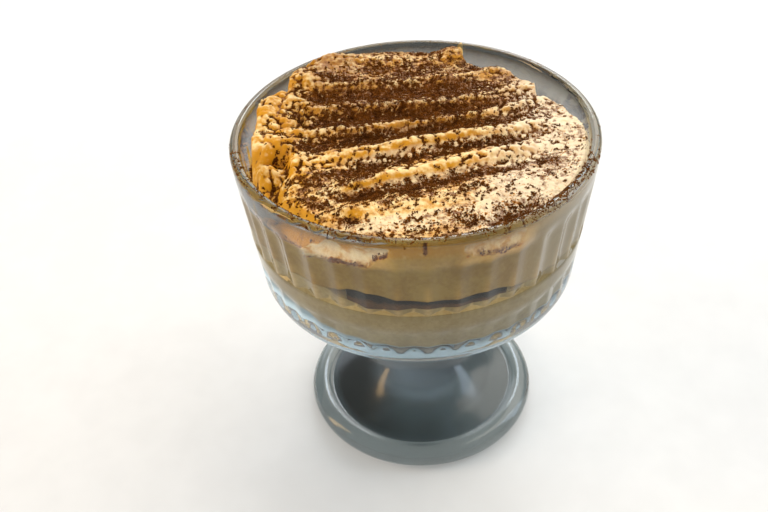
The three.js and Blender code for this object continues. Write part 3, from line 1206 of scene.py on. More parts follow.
@dataclass
class LowerCream:
    """Cream from the floor of the bowl up to the sponge."""

    coupe: Coupe
    sponge: SpongeLayer
    into_wall: float = 0.2
    steps: int = 360
    # Painted reflection: heights round the glass up to which the cream takes the pale blue of the glass
    # base.
    base_reflection: Ring = (
        (-170, 72.5), (-140, 72.5), (-116, 68.2), (-96, 66.2), (-60, 66.2), (-30, 66.8), (20, 67.0),
        (155, 66.5),
    )
    base_reflection_edge: float = 1.5
    grey_share: float = 0.16
    grey_top: Pair = (71, 76)

    def fill(self, points: Array) -> Array:
        """Brings the top of the cream up to the underside of the sponge.

        Args:
            points: Rows of x, y, z; those above the middle of the bowl's side move.

        Returns:
            The moved rows.
        """
        filled = points.copy()
        radius = np.hypot(points[:, 0], points[:, 1])
        low = self.coupe.inner_corner[1]
        rise = np.clip((points[:, 2] - low) / (self.sponge.level - low), 0, 1)
        at_wall = self.sponge.wall_line(points, False)
        inside = self.sponge.layer_height(points[:, 0]) - self.sponge.half
        edge = self.coupe.inner_radius(self.sponge.level)
        top = mix(inside, at_wall, ease(radius / edge, 0.7, 0.97))
        filled[:, 2] = np.where(rise > 0, mix(low, top, rise), points[:, 2])
        wall = self.coupe.inner_radius(filled[:, 2]) + self.into_wall
        at_side = (rise > 0) & (radius > 0.985 * edge - 3)
        at_side &= radius > 0.98 * self.coupe.inner_radius(points[:, 2])
        scale = np.where(at_side, wall / radius, 1)
        filled[:, :2] *= scale[:, None]
        return filled

    def build(self, finish: CreamFinish, effects: Effects) -> Piece:
        """Models and dresses the lower cream.

        Args:
            finish: Its material.
            effects: The shared node groups.

        Returns:
            The lower cream.
        """
        grown = self.coupe.inner_corner_radius + self.into_wall
        corner = arc(self.coupe.inner_corner, grown, grown, -90, 0, 14)
        rows = np.linspace(self.coupe.inner_corner[1], self.sponge.level, 9)[1:]
        side = [(float(self.coupe.inner_radius(z)) + self.into_wall, float(z)) for z in rows]
        top = [(side[-1][0] * share, self.sponge.level) for share in (0.96, 0.9, 0.8, 0.6, 0.3, 0)]
        middle = (0.0, corner[0][1] - self.coupe.floor_dip)
        shape = revolve([middle, *corner, *side, *top], self.steps)
        reshape(shape, self.fill)
        cream = piece_from("lower_cream", shape, "cream_base")
        places = vertex_places(cream)
        # Painted reflection: the underside and foot of the cream take a pale blue, and a faint share of it
        # reaches up the side to 76 mm.
        base_reflection_top = around(self.base_reflection, azimuth_of(places))
        base_reflection = fade(places[:, 2], base_reflection_top - self.base_reflection_edge, base_reflection_top)
        greyed = self.grey_share * fade(places[:, 2], *self.grey_top)
        paint(cream, "second", np.maximum(base_reflection, ease(greyed, 0, 0.1)))
        paint(cream, "side", 1 - np.maximum(base_reflection, greyed))
        for name, value in (("tone", 0.35), ("haze", 0.0), ("coarse", 0.4), ("cocoa", 0.13)):
            paint(cream, name, value)
        cream.data.materials.append(finish.material(effects))
        return cream


@dataclass(frozen=True)
class Crest:
    """One crest left by the spatula: place, lean, sweep at the right, height, start, tail, growth."""

    y: float
    lean: float
    sweep: float
    rise: float
    start: float = -41.0
    tail: float = 0.0
    growth: float = 7.0
    tail_span: Pair = (-43, -26)

    def line(self, x: Array) -> Array:
        """Line of the crest across the cream.

        Args:
            x: Places along x.

        Returns:
            The place of the crest along y, in mm.
        """
        end, start = self.tail_span
        bend = self.sweep * np.maximum(0, x) ** 2
        bend = bend + self.tail * np.maximum(0, start - np.maximum(x, end)) ** 2
        return self.y + self.lean * x + bend

    def height(self, x: Array) -> Array:
        """Height of the crest along x, faded in where the stroke begins."""
        return self.rise * ease(x, self.start, self.start + self.growth)


@dataclass(frozen=True)
class Lump:
    """A soft spot on the cream, such as a dab, a dimple or a stain, round unless its depth is given."""

    x: float
    y: float
    radius: float
    rise: float
    depth: float = 0.0

    def at(self, x: Array, y: Array) -> Array:
        """Rise of the spot at each place."""
        across, along = (x - self.x) / self.radius, (y - self.y) / (self.depth or self.radius)
        return self.rise * np.exp(-(across**2 + along**2))


class Layer(Enum):
    """Levels at which the unevenness is read, far enough apart that no two look alike."""

    WANDER = 3.0
    LEDGE_FINE = 5.0
    LEDGE = 9.0
    STREAKS = 31.0
    LOOSE = 41.0
    BEADS = 45.0
    GRIT = 51.0
    SWELL = 61.0
    SHELF = 71.0
    SHELF_FINE = 81.0
    OUTLINE = 91.0
    OUTLINE_FINE = 95.0
    BLOTCH = 101.0
    BLOTCH_FINE = 111.0
    BREAKS = 121.0
    CRESTS = 141.0


@dataclass
class CreamSurface:
    """Form of the top of the cream and how the cocoa lies on it."""

    coupe: Coupe
    level: float = 104.8
    crown: float = 1.6
    ceiling: float = 112.0
    side_face: Ring = (
        (-165, 3.0), (-150, 3.0), (-122, 3.0), (-116, 1.0), (-40, 1.4), (0, 2.0), (30, 1.8), (75, 2.2),
        (140, 1.6), (180, 1.4),
    )
    gap: float = 0.3
    crests: tuple[Crest, ...] = (
        Crest(56, 0, 0, 0.3), Crest(41, 0.02, 0.003, 0.5), Crest(27.5, 0.096, 0.0056, 0.65, -41, 0.02),
        Crest(13.4, 0.03, 0.0068, 0.8, -41, 0.044), Crest(2.6, 0.09, 0.0065, 0.9, -41, 0.03),
        Crest(-7.1, 0.235, 0.0005, 1.15, -33, 0.0, 20),
        Crest(-20.3, 0.344, -0.0007, 1.25, -23), Crest(-33, 0.2, 0.002, 0.35), Crest(-60, 0, 0, 0.2),
    )
    valley_at: float = 0.4
    crest_wander: float = 0.7
    crest_width: float = 0.16
    crest_span: Pair = (27, 42)
    contact: Ring = (
        (-165, 96.5), (-150, 97.5), (-128, 97), (-121, 101), (-116, 104), (-90, 104.4), (-40, 104),
        (0, 103.4), (14, 98), (28, 94), (60, 94), (74, 102), (100, 101), (125, 104), (140, 103), (149, 95),
        (158, 102), (168, 98), (178, 96),
    )
    hollow: Ring = (
        (-128, 0), (-121, 1.8), (-112, 1.7), (-104, 1.4), (-100, 0.8), (-97, 0), (-78, 0), (-74, 0.9),
        (-60, 0.9), (-56, 0),
    )
    hollow_foot: Ring = (
        (-128, 94.2), (-121, 96), (-113, 97.2), (-106, 97.0), (-101, 101), (-96, 102.8), (-77, 100.4),
        (-71, 99.6), (-64, 98.8), (-56, 99.3),
    )
    # Painted shade: a golden-brown band on the cream just under the rim at the front.
    rim_shade: Ring = (
        (-112, 0), (-103, 1), (-88, 0.8), (-78, 0.5), (-70, 0),
    )
    amber: tuple[Lump, ...] = (
        Lump(-44, 8, 3.0, 0.5), Lump(-39.3, -6.8, 2.6, 0.5), Lump(-36.5, -12, 3.0, 0.3),
        Lump(-43, -14, 5.0, -0.3), Lump(-36, -18, 4.0, -0.15),
    )
    stand: Ring = (
        (-176, 1.0), (-167, 0.8), (-158, 1.6), (-148, 2.0), (-126, 1.8), (-119, 0.3), (0, 0.4), (12, 2.0),
        (26, 5.4), (40, 3.2), (52, 1.6), (60, 4.2), (66, 5.0), (74, 0.3), (80, 1.0), (96, 0.8), (108, 0.3),
        (140, 0.2), (146, 1.4), (150, 3.4), (154, 1.2), (159, 0.0), (165, 0.2), (170, 1.0), (176, 1.3),
    )
    lumps: tuple[Lump, ...] = (
        Lump(-27, 38, 11, 4.2), Lump(-35, 27, 8, 2.6), Lump(-43, 14, 6, 2.8), Lump(13, 46, 5, 2.6),
        Lump(-8, 45, 8, 1.4), Lump(-16.5, -36, 3.2, 0.8), Lump(-16.5, -39.2, 2.4, -1.3),
        Lump(-42.5, -13, 5.0, 3.6), Lump(-41.5, -20, 4.5, -1.6), Lump(-15.5, -26, 2.6, 0.6),
        Lump(-35, -5.2, 2.8, 1.4), Lump(-39.5, -4.2, 2.8, 1.4), Lump(-44, -3.2, 3.0, 1.4),
        Lump(-38, -9.4, 2.4, -1.4), Lump(-36.6, -15, 2.4, 1.2), Lump(-35.6, -22, 2.6, 1.4),
    )
    # Spots where bead tops are kept clear of haze, as painted highlights.
    bright: tuple[Lump, ...] = (Lump(-4, 3, 8, 0.7), Lump(20, 8, 12, 0.5), Lump(-30, 2, 8, 0.5))
    strewn: tuple[Lump, ...] = (
        Lump(-21, -26, 12, 0.22, 7), Lump(28, -31, 8, 0.12, 7), Lump(6, -34, 18, 0.1, 6.5),
        Lump(-43, 1, 4, 0.35, 2), Lump(-40, -22, 4, 0.34), Lump(-2, 11, 21, 0.3, 9),
    )
    hook: Lump = Lump(-17, -40, 4, 0.5, 1.6)
    bare_peak: Lump = Lump(-27, 39, 10, 0.65, 7)
    light_cover: float = 0.42
    dark_cover: float = 0.28
    back_cover: float = 0.66
    front_thinning: float = 0.7
    left_thinning: float = 0.6
    valley_cover: float = 0.5
    valley_width: Pair = (0.12, 0.34)
    swept_crests: Pair = (0.06, 0.15)
    sifted_middle: Pair = (-4, 14)
    sifted_reach: tuple[float, float, float, float] = (34, 30, 20, 36)
    middle_haze: float = 0.76
    back_haze: float = 0.42
    left_haze: Pair = (0.62, 0.12)
    curd_haze: float = 0.5
    ledge_x: float = -32.5
    ledge_back: float = -6.5
    ledge_front: float = -44.0
    ledge_turn: float = -29.0
    ledge_lean: float = 0.7
    ledge_drop: float = 5.5
    ledge_face: float = 5.5
    loose_curds: Lump = Lump(27, 16, 10, 1.0, 12)
    mean_curd: float = 0.55
    bead_size: float = 2.1
    fine_bead_size: float = 1.4
    crumb_size: float = 3.4
    fine_crumb_size: float = 1.7
    clot_size: float = 5.2
    clot_height: float = 1.5
    grit_height: float = 0.2
    streak_height: float = 0.10
    swell_height: float = 0.45
    edge_rounding: float = 0.8
    seed: int = 11
    noise: Unevenness = field(init=False)
    curds: Curds = field(init=False)

    def __post_init__(self) -> None:
        """Draws the unevenness of the cream."""
        self.noise = Unevenness(self.seed)
        self.curds = Curds(self.seed)

    def uneven(self, layer: Layer, x: Array, y: Array, size: float) -> Array:
        """Unevenness of a layer, from about -1 to 1, in lumps of a size in mm."""
        return self.noise.at(x, y, layer.value, size)

    def stroke_share(self, x: Array, y: Array) -> tuple[Array, Array]:
        """Where a place lies between two crests.

        Args:
            x: Places along x.
            y: Places along y.

        Returns:
            The share from the crest behind to the crest ahead, and the height of the strokes there.
        """
        wander = self.crest_wander * self.uneven(Layer.WANDER, x, y * 0.3, 7.0)
        share = np.zeros_like(x)
        rise = np.zeros_like(x)
        for behind, ahead in zip(self.crests, self.crests[1:]):
            start, end = behind.line(x), ahead.line(x)
            along = (start - (y + wander)) / np.maximum(start - end, 1e-6)
            inside = (along >= 0) & (along < 1)
            share = np.where(inside, along, share)
            rise = np.where(inside, mix(behind.height(x), ahead.height(x), along), rise)
        return share, rise

    def strokes(self, x: Array, y: Array) -> Array:
        """Height of the spatula strokes: a face that falls from each crest, then a steep rise.

        Args:
            x: Places along x.
            y: Places along y.

        Returns:
            The height at each place, in mm.
        """
        share, rise = self.stroke_share(x, y)
        down = np.clip(share / self.valley_at, 0, 1) ** 0.85
        up = np.clip((1 - share) / (1 - self.valley_at), 0, 1) ** 0.9
        turn = np.where(share < self.valley_at, down, up)
        spread = fade(x, *self.crest_span) * (1 - 0.6 * self.curdled(x, y))
        return rise * np.cos(np.pi * turn) * spread

    def ledge(self, x: Array, y: Array) -> Array:
        """Share of the drop to the low ledge at the left front.

        Args:
            x: Places along x.
            y: Places along y.

        Returns:
            0 on the plateau, 1 down on the ledge.
        """
        ragged = 1.3 * self.uneven(Layer.LEDGE, x, y, 4.0) + 0.6 * self.uneven(Layer.LEDGE_FINE, x, y, 1.9)
        edge = self.ledge_x + self.ledge_lean * np.maximum(0, self.ledge_turn - y) + ragged
        past_front = ease(y, self.ledge_front - 3, self.ledge_front)
        past_back = ease(y + ragged, self.ledge_back - 0.8 * self.ledge_face, self.ledge_back)
        return ease(edge - x, 0, self.ledge_face) * past_front * (1 - past_back)

    def fluff(self, x: Array, y: Array) -> Array:
        """How rough the cream is: 1 in the dusted middle, less on the smooth front and right."""
        return mix(0.25, 1.0, ease(y, -27, -12)) * mix(1.0, 0.6, ease(x, 30, 42))

    def curdled(self, x: Array, y: Array) -> Array:
        """How much the cream breaks into loose curds: at the right towards the back."""
        return self.loose_curds.at(x, y)

    @staticmethod
    def dabs(lumps: Sequence[Lump], x: Array, y: Array) -> Array:
        """Sum of the soft rises of some lumps."""
        return sum(lump.at(x, y) for lump in lumps)

    def beads(self, x: Array, y: Array) -> Array:
        """Small round beads of cream, above 0 at their middles and below 0 between them."""
        return self.curds.at(x, y, self.bead_size) - self.mean_curd

    def texture(self, x: Array, y: Array) -> Array:
        """Small unevenness: beads along the crests, loose curds, lumps at the left and drag streaks.

        Args:
            x: Places along x.
            y: Places along y.

        Returns:
            The height at each place, in mm.
        """
        share, _ = self.stroke_share(x, y)
        crest = hill(np.minimum(share, 1 - share), 0, self.crest_width)
        rough = self.fluff(x, y)
        left = ease(-x, 25, 33) * ease(y, -32, -20)
        loose = self.curdled(x, y) * (0.75 + 0.6 * self.uneven(Layer.LOOSE, x, y, 5.0))
        patchy = 0.8 + 0.7 * self.uneven(Layer.BEADS, x, y, 4.0)
        beads = (rough * (0.35 + 0.75 * crest) + 0.6 * left) * patchy
        small = beads * self.beads(x, y) + self.grit_height * rough * self.uneven(Layer.GRIT, x, y, 1.1)
        fine = mix(0.45, 0.2, ease(y, 18, 30)) * rough
        small = small + fine * (self.curds.at(x + 3, y + 1, self.fine_bead_size) - self.mean_curd)
        crumbs = 1.5 * self.curds.at(x + 5, y, self.crumb_size)
        crumbs = crumbs + 0.6 * self.curds.at(x, y + 9, self.fine_crumb_size) - 1.1
        small = small + loose * crumbs
        clots = self.clot_height * left * (self.curds.at(x + 13, y + 7, self.clot_size) - self.mean_curd)
        streaks = self.streak_height * self.uneven(Layer.STREAKS, x * 0.15, y - 0.2 * x, 0.9)
        return self.swell_height * self.uneven(Layer.SWELL, x, y, 8.0) + small + clots + streaks

    def height(self, x: Array, y: Array) -> Array:
        """Height of the cream.

        Args:
            x: Places along x.
            y: Places along y.

        Returns:
            The height of the top, its sides included.
        """
        radius = np.hypot(x, y)
        azimuth = np.degrees(np.arctan2(y, x))
        dome = self.crown * (1 - (radius / self.coupe.rim_radius) ** 2)
        top = self.level + dome + self.strokes(x, y)
        top = top + self.dabs(self.lumps, x, y)
        low = self.ledge(x, y)
        lumpy = 2.6 * self.uneven(Layer.SHELF, x, y, 5.0) + 0.9 * self.uneven(Layer.SHELF_FINE, x, y, 2.4)
        top = top - low * (self.ledge_drop - lumpy) + self.texture(x, y)
        meets = around(self.contact, azimuth)
        wall = self.coupe.inner_radius(meets)
        ragged = 1.1 * self.uneven(Layer.OUTLINE, x, y, 6.0)
        ragged = ragged + 0.6 * self.uneven(Layer.OUTLINE_FINE, x, y, 2.6)
        loose = around(self.stand, azimuth)
        stand = np.maximum(self.gap, loose + 0.8 * ragged * ease(loose, 0.2, 1.6))
        rise = np.clip((wall - stand - radius) / around(self.side_face, azimuth), 0, 1)
        side = mix(meets, self.ceiling, np.sin(0.5 * np.pi * rise))
        return soft_lower(side, top, self.edge_rounding)

    def hollowed(self, points: Array) -> Array:
        """How far the side stands back from the glass in the folds under its front edge.

        Args:
            points: Rows of x, y, z at the glass.

        Returns:
            The depth of the folds at each point.
        """
        x, y, z = points.T
        azimuth = azimuth_of(points)
        foot = around(self.hollow_foot, azimuth) + 0.5 * self.noise.at(x, y, z, 2.5)
        folds = 1 + 0.8 * self.noise.at(x, y, 1.4 * z, 3.2)
        return around(self.hollow, azimuth) * folds * ease(z - foot, 0, 0.8) * fade(z, 103, 104.2)

    def heavy(self, x: Array, y: Array) -> Array:
        """Where the cocoa was sifted thickest: 1 behind the middle.

        Args:
            x: Places along x.
            y: Places along y.

        Returns:
            The share at each place, from 0 to 1.
        """
        across, along = x - self.sifted_middle[0], y - self.sifted_middle[1]
        left, right, back, front = self.sifted_reach
        across = across / np.where(across < 0, left, right)
        along = along / np.where(along > 0, back, front)
        return np.exp(-(across**4) - np.abs(along) ** 3)

    def haze(self, x: Array, y: Array) -> Array:
        """How far cocoa too fine to see as grains dulls the cream.

        Args:
            x: Places along x.
            y: Places along y.

        Returns:
            The share at each place, from 0 to 1.
        """
        middle = self.middle_haze * self.heavy(x, y) * ease(y - 0.2 * x, -14, 0)
        back = self.back_haze * ease(y, 22, 32)
        band, rim = self.left_haze
        left = band * ease(-x, 12, 20) * fade(-x, 28, 36) * ease(y, -8, 0) + rim * ease(-x, 30, 38)
        return np.maximum.reduce([middle, back, left, self.curd_haze * self.curdled(x, y)])

    def cover(self, x: Array, y: Array) -> Array:
        """How much of the cream the cocoa hides.

        Args:
            x: Places along x.
            y: Places along y.

        Returns:
            The hidden share at each place, from 0 to 1.
        """
        share, rise = self.stroke_share(x, y)
        heavy = self.heavy(x, y)
        width = mix(*self.valley_width, heavy * ease(y - 0.2 * x, -12, -4))
        valley = hill(share, 0.42 + 0.5 * width, width) * ease(rise, 0.0, 0.5)
        valley = valley * fade(x + 0.3 * y, 26, 39)
        lower_face = ease(share, 0.14, 0.26)
        light = self.light_cover + 0.05 * lower_face + self.valley_cover * valley
        breaks = 0.3 * self.uneven(Layer.BREAKS, x, 0.5 * y, 7.0) * ease(y, -10, 0)
        dark = self.dark_cover + 0.32 * ease(y, -4, 8) + 0.08 * ease(y, 4, 14)
        dark = dark + 0.1 * lower_face + self.valley_cover * valley + breaks
        golden = hill(share, 0.12, 0.1) * ease(-y, 2, 10) * ease(x, -24, -14)
        golden = golden * mix(*self.swept_crests, ease(-y, 10, 28))
        front = mix(1.0, self.front_thinning, ease(-y, 38, 46))
        back = ease(y, 25, 33) * mix(1.0, 0.3, ease(x, 16, 30))
        spread = mix(mix(light, dark, heavy) * front, self.back_cover, back)
        low = self.ledge(x, y)
        bare = mix(1.0, self.left_thinning, ease(-x, 33, 38)) * (1 - self.bare_peak.at(x, y))
        bare = bare * (1 - 1.4 * low * (1 - low))
        strewn = self.dabs(self.strewn, x, y) + 0.16 * self.curdled(x, y)
        blotch = 1 + 0.30 * self.uneven(Layer.BLOTCH, x, y, 6.0)
        blotch = blotch + 0.35 * self.uneven(Layer.BLOTCH_FINE, x, y, 2.4)
        return np.clip((spread * bare + strewn - golden) * blotch + self.hook.at(x, y), 0, 1)


@dataclass
class UpperCream:
    """Cream above the sponge, spread in strokes across the top."""

    coupe: Coupe
    sponge: SpongeLayer
    surface: CreamSurface
    into_wall: float = 0.2
    divisions: int = 256
    warmth: Pair = (0.37, 0.43)
    # Golden tones below are painted shade: slopes facing away from the lamps, hollows, dips and the face
    # under each crest.
    facing_shade_tone: float = 0.62
    gap_shade_tone: float = 0.7
    dip_shade_tone: float = 0.2
    crest_shade_tone: float = 0.5
    amber_tone: Pair = (0.18, 0.4)
    # Pales and whites below are painted highlights on the lower stroke faces, the crest tops and the beads.
    lit_face_pale: Pair = (0.4, 0.25)
    ridge_highlight: Pair = (0.28, 0.08)
    bead_highlight: float = 0.5
    # Whiter cream on the right, with painted light there on slopes that face the lamps.
    right_white_and_light: float = 0.75
    lit_face_white: float = 0.45
    steep_cover: float = 0.35
    gap_cover: float = 2.1
    bead_cover: float = 0.9
    curd_cover: float = 1.6
    # The side behind the glass takes a golden tone, partly its own and partly painted shade.
    wall_tone: float = 0.75
    # Painted reflection: the right of the wall is paler.
    right_wall_reflection: float = 0.8
    # Painted highlights on the tops of the folds.
    ribbon_highlight: float = 0.6
    wall_cover: float = 0.05
    line_cover: float = 1.3
    smear_cover: float = 0.8
    smear_azimuth: float = -87.8
    wall_rows: int = 20

    def disc(self, points: Array) -> Array:
        """Maps the square grid to the round top and lifts it.

        Args:
            points: Rows whose x and y run from -1 to 1.

        Returns:
            Rows of x, y, z in mm.
        """
        u, v = np.clip(points[:, 0], -1, 1), np.clip(points[:, 1], -1, 1)
        east, north = u * np.sqrt(1 - v * v / 2), v * np.sqrt(1 - u * u / 2)
        azimuth = np.degrees(np.arctan2(north, east))
        share = np.hypot(east, north)
        meets = around(self.surface.contact, azimuth)
        radius = share * (self.coupe.inner_radius(meets) + self.into_wall)
        x, y = radius * np.cos(np.radians(azimuth)), radius * np.sin(np.radians(azimuth))
        edge = ease(1 - share, 0.0, 0.02)
        height = mix(meets, self.surface.height(x, y), edge)
        return np.column_stack([x, y, height])

    def wall_row(self, rim: Array, row: int) -> Array:
        """Row of the side that lies along the glass, from the rim down to the sponge.

        Args:
            rim: Rows of x, y, z where the cream meets the glass.
            row: Number of the row, from 1.

        Returns:
            Rows of x, y, z in mm.
        """
        below = self.sponge.wall_line(rim, True)
        height = mix(rim[:, 2], below, row / self.wall_rows)
        radius = self.coupe.inner_radius(height) + self.into_wall
        radius = radius - self.surface.hollowed(np.column_stack([rim[:, :2], height]))
        scale = radius / np.hypot(rim[:, 0], rim[:, 1])
        return np.column_stack([rim[:, 0] * scale, rim[:, 1] * scale, height])

    def underside(self, edge: Array, share: float) -> Array:
        """Ring of the underside, over the sponge.

        Args:
            edge: Rows of x, y, z at the foot of the side.
            share: Share of the radius.

        Returns:
            Rows of x, y, z in mm.
        """
        x, y = share * edge[:, 0], share * edge[:, 1]
        over = self.sponge.layer_height(x) + self.sponge.half
        return np.column_stack([x, y, mix(edge[:, 2], over, fade(share, 0.7, 1.0))])

    def build(self, finish: CreamFinish, effects: Effects) -> Piece:
        """Models and dresses the upper cream.

        Args:
            finish: Its material.
            effects: The shared node groups.

        Returns:
            The upper cream.
        """
        shape = bmesh.new()
        bmesh.ops.create_grid(shape, x_segments=self.divisions, y_segments=self.divisions, size=MM)
        reshape(shape, self.disc)
        edges = [edge for edge in shape.edges if edge.is_boundary]
        verts = list({vert for edge in edges for vert in edge.verts})
        rim = np.array([vert.co[:] for vert in verts]) / MM
        rows = [self.wall_row(rim, row) for row in range(1, self.wall_rows + 1)]
        rows += [self.underside(rows[-1], share) for share in (0.93, 0.8, 0.5)]
        for places in rows:
            grown = bmesh.ops.extrude_edge_only(shape, edges=edges)["geom"]
            new_edges = [part for part in grown if isinstance(part, Edge)]
            edges = [edge for edge in new_edges if edge.is_boundary]
            verts = self.follow(verts, edges)
            for vert, place in zip(verts, places * MM):
                vert.co = place
        middle = Vector((0, 0, self.sponge.level + self.sponge.half)) * MM
        bmesh.ops.pointmerge(shape, verts=verts, merge_co=middle)
        bmesh.ops.recalc_face_normals(shape, faces=shape.faces)
        cream = piece_from("upper_cream", shape, "cream_top")
        self.colour(cream)
        cream.data.materials.append(finish.material(effects))
        return cream

    @staticmethod
    def follow(verts: list[Vert], edges: list[Edge]) -> list[Vert]:
        """Finds the vertices of an extruded loop in the order of the loop that it grew from.

        Args:
            verts: Vertices of the old loop.
            edges: Edges of the new loop.

        Returns:
            The new vertices, one for each old one.
        """
        new = {vert for edge in edges for vert in edge.verts}
        partners = []
        for vert in verts:
            ends = [edge.other_vert(vert) for edge in vert.link_edges]
            partners.append(next(end for end in ends if end in new))
        return partners

    def colour(self, cream: Piece) -> None:
        """Stores the golden tone of the folds, partly painted shade, the painted highlights and the cover
        of cocoa on the cream.

        Args:
            cream: The cream.
        """
        places = vertex_places(cream)
        x, y, z = places.T
        flat = np.empty(3 * len(places), dtype=np.float32)
        cream.data.vertices.foreach_get("normal", flat)
        wall = ease(np.hypot(x, y) - self.coupe.inner_radius(z), -0.4, 0.0)
        top = (np.arange(len(places)) < (self.divisions + 1) ** 2) & (wall < 0.5)
        on_top, on_side = self.top_looks(places, flat.reshape(-1, 3)), self.side_looks(places)
        for name in on_top:
            paint(cream, name, np.clip(np.where(top, on_top[name], on_side[name]), 0, 1))

    def top_looks(self, places: Array, normal: Array) -> dict[str, Array]:
        """Colours, painted shade and painted highlights, and cocoa of the top of the cream.

        Args:
            places: Rows of x, y, z.
            normal: Rows of the normals.

        Returns:
            The numbers that the material reads, by name.
        """
        surface = self.surface
        x, y, z = places.T
        gaps, dips = self.hollowness(z, 3), self.hollowness(z, 8)
        # Painted shade: how far each slope faces away from the lamps, towards the front and the left.
        facing = np.clip(-normal[:, 1] * 0.9 - normal[:, 0] * 0.35 + (0.75 - normal[:, 2]) * 0.5, 0, 1)
        share, _ = surface.stroke_share(x, y)
        from_crest = np.minimum(share, 1 - share)
        behind_front = ease(y, -34, -24)
        left = ease(-x, 26, 34)
        under_crest = hill(share, 0.1, mix(0.05, 0.08, ease(-y, 4, 12))) * behind_front
        # Painted light: the flatter lower face of each stroke, where fine cocoa lies, is made paler and
        # whiter.
        dusted = ease(share, 0.13, 0.19) * fade(share, 0.34, 0.42) * ease(x, -26, -10) * ease(-y, -8, 4)
        beads = surface.beads(x, y) * np.maximum(hill(from_crest, 0, 0.18), 0.8 * left)
        # Painted shade: the left side, the low ledge, slopes facing away from the lamps, hollows and dips
        # turn golden.
        tone = mix(*self.warmth, ease(y, -24, -8)) + 0.1 * left + 0.08 * surface.ledge(x, y)
        tone = tone + self.facing_shade_tone * facing + self.gap_shade_tone * np.clip(gaps, -0.18, 0.6)
        tone = tone + self.dip_shade_tone * np.clip(dips, 0, 1)
        broken = np.clip(0.6 + 1.3 * surface.uneven(Layer.CRESTS, x, y, 2.6), 0.0, 1.4)
        # Painted highlights: crest tops and bead tops are made paler.
        ridge = mix(*self.ridge_highlight, ease(y, -4, 4)) * hill(from_crest, 0, 0.09) * behind_front
        pale = mix(*self.lit_face_pale, ease(-y, 6, 12)) * dusted + ridge + self.bead_highlight * beads
        amber = surface.noise.at(x, y, z, 3.4) + 0.6 * surface.noise.at(x, y, z + 40, 1.5)
        # Painted shade: the face just under each crest turns golden.
        tone = tone + self.crest_shade_tone * broken * under_crest - pale
        tone = tone + mix(*self.amber_tone, ease(-x, 24, 34)) * amber + surface.dabs(surface.amber, x, y)
        # Whiter cream on the right, partly its own colour and partly painted light on slopes facing the
        # lamps.
        white = self.right_white_and_light * ease(x - 0.25 * y, 15, 32) * (1 - facing)
        white = np.maximum(white, self.lit_face_white * dusted)
        # Painted highlight: bead tops are kept clear of the cocoa haze.
        bright = (0.5 + surface.dabs(surface.bright, x, y)) * np.clip(beads, 0, 0.4)
        curdled = surface.curdled(x, y)
        rough = np.clip(surface.fluff(x, y) + curdled, 0.3, 1) * mix(1.0, 0.5, ease(y, 20, 32))
        cover = surface.cover(x, y) * mix(self.steep_cover, 1.0, ease(normal[:, 2], 0.25, 0.75))
        cover = cover + self.gap_cover * rough * np.clip(gaps, -0.1, 0.3) - self.bead_cover * rough * beads
        cover = cover + self.curd_cover * curdled * np.clip(gaps, -0.1, 0.35)
        return {
            "tone": tone,
            "second": white,
            "haze": surface.haze(x, y) - bright,
            "coarse": mix(1.0, 0.25, ease(x + 0.2 * y, 12, 28)),
            "side": np.zeros_like(x),
            "cocoa": cover,
        }

    def side_looks(self, places: Array) -> dict[str, Array]:
        """Colours, painted shade, highlights and reflection, and cocoa of the side of the cream, behind the
        glass.

        Args:
            places: Rows of x, y, z.

        Returns:
            The numbers that the material reads, by name.
        """
        surface = self.surface
        x, y, z = places.T
        azimuth = azimuth_of(places)
        folds = ease(surface.hollowed(places), 0.05, 0.4)
        # Painted shade and highlights on the folds: golden between the fold domes, white on their tops.
        fold = surface.curds.at(0.85 * azimuth + 0.7 * z, 1.5 * z - 0.3 * azimuth, 3.8)
        tanned = ease(azimuth, -82, -74)
        right_wall = ease(x, 12, 38)
        ribbon = self.ribbon_highlight * folds * fold**2 * (1 - 0.6 * tanned)
        # Painted reflection: the right of the wall is paler and less golden.
        pale_wall = self.right_wall_reflection * right_wall * (1 - folds * tanned)
        # Painted shade: a golden-brown band just under the rim at the front.
        under_rim = around(surface.rim_shade, azimuth) * ease(z, 100.2, 102.2)
        near = ease(around(surface.hollow, azimuth), 0.1, 0.6)
        ragged = 0.5 + 0.5 * surface.noise.at(x, y, z, 3.0)
        line = self.line_cover * hill(z, around(surface.hollow_foot, azimuth), 0.8) * ragged * near
        smear = hill(azimuth, self.smear_azimuth, 0.8) * ease(z, 101.2, 102.6)
        return {
            "tone": np.where(folds > 0.3, 1.15 - 1.4 * fold + 0.4 * tanned, self.wall_tone),
            "second": np.maximum(pale_wall, ribbon),
            "haze": np.zeros_like(x),
            "coarse": np.ones_like(x),
            "side": (1 - folds) * (1 - 0.78 * right_wall) * (1 - 0.75 * under_rim),
            "cocoa": self.wall_cover + line + self.smear_cover * smear,
        }

    def hollowness(self, height: Array, cells: int) -> Array:
        """How far each vertex of the top lies below the mean of the cells round it.

        Args:
            height: Heights of all the vertices, in mm, those of the grid first.
            cells: Reach of the mean, in cells of the grid.

        Returns:
            The depth at each vertex, 0 off the top.
        """
        side = self.divisions + 1
        grid = height[: side * side].reshape(side, side)
        width = 2 * cells + 1
        padded = np.pad(grid, cells, mode="edge")
        rows = sum(padded[step : step + side] for step in range(width)) / width
        mean = sum(rows[:, step : step + side] for step in range(width)) / width
        depth = np.zeros_like(height)
        depth[: side * side] = (mean - grid).ravel()
        return depth


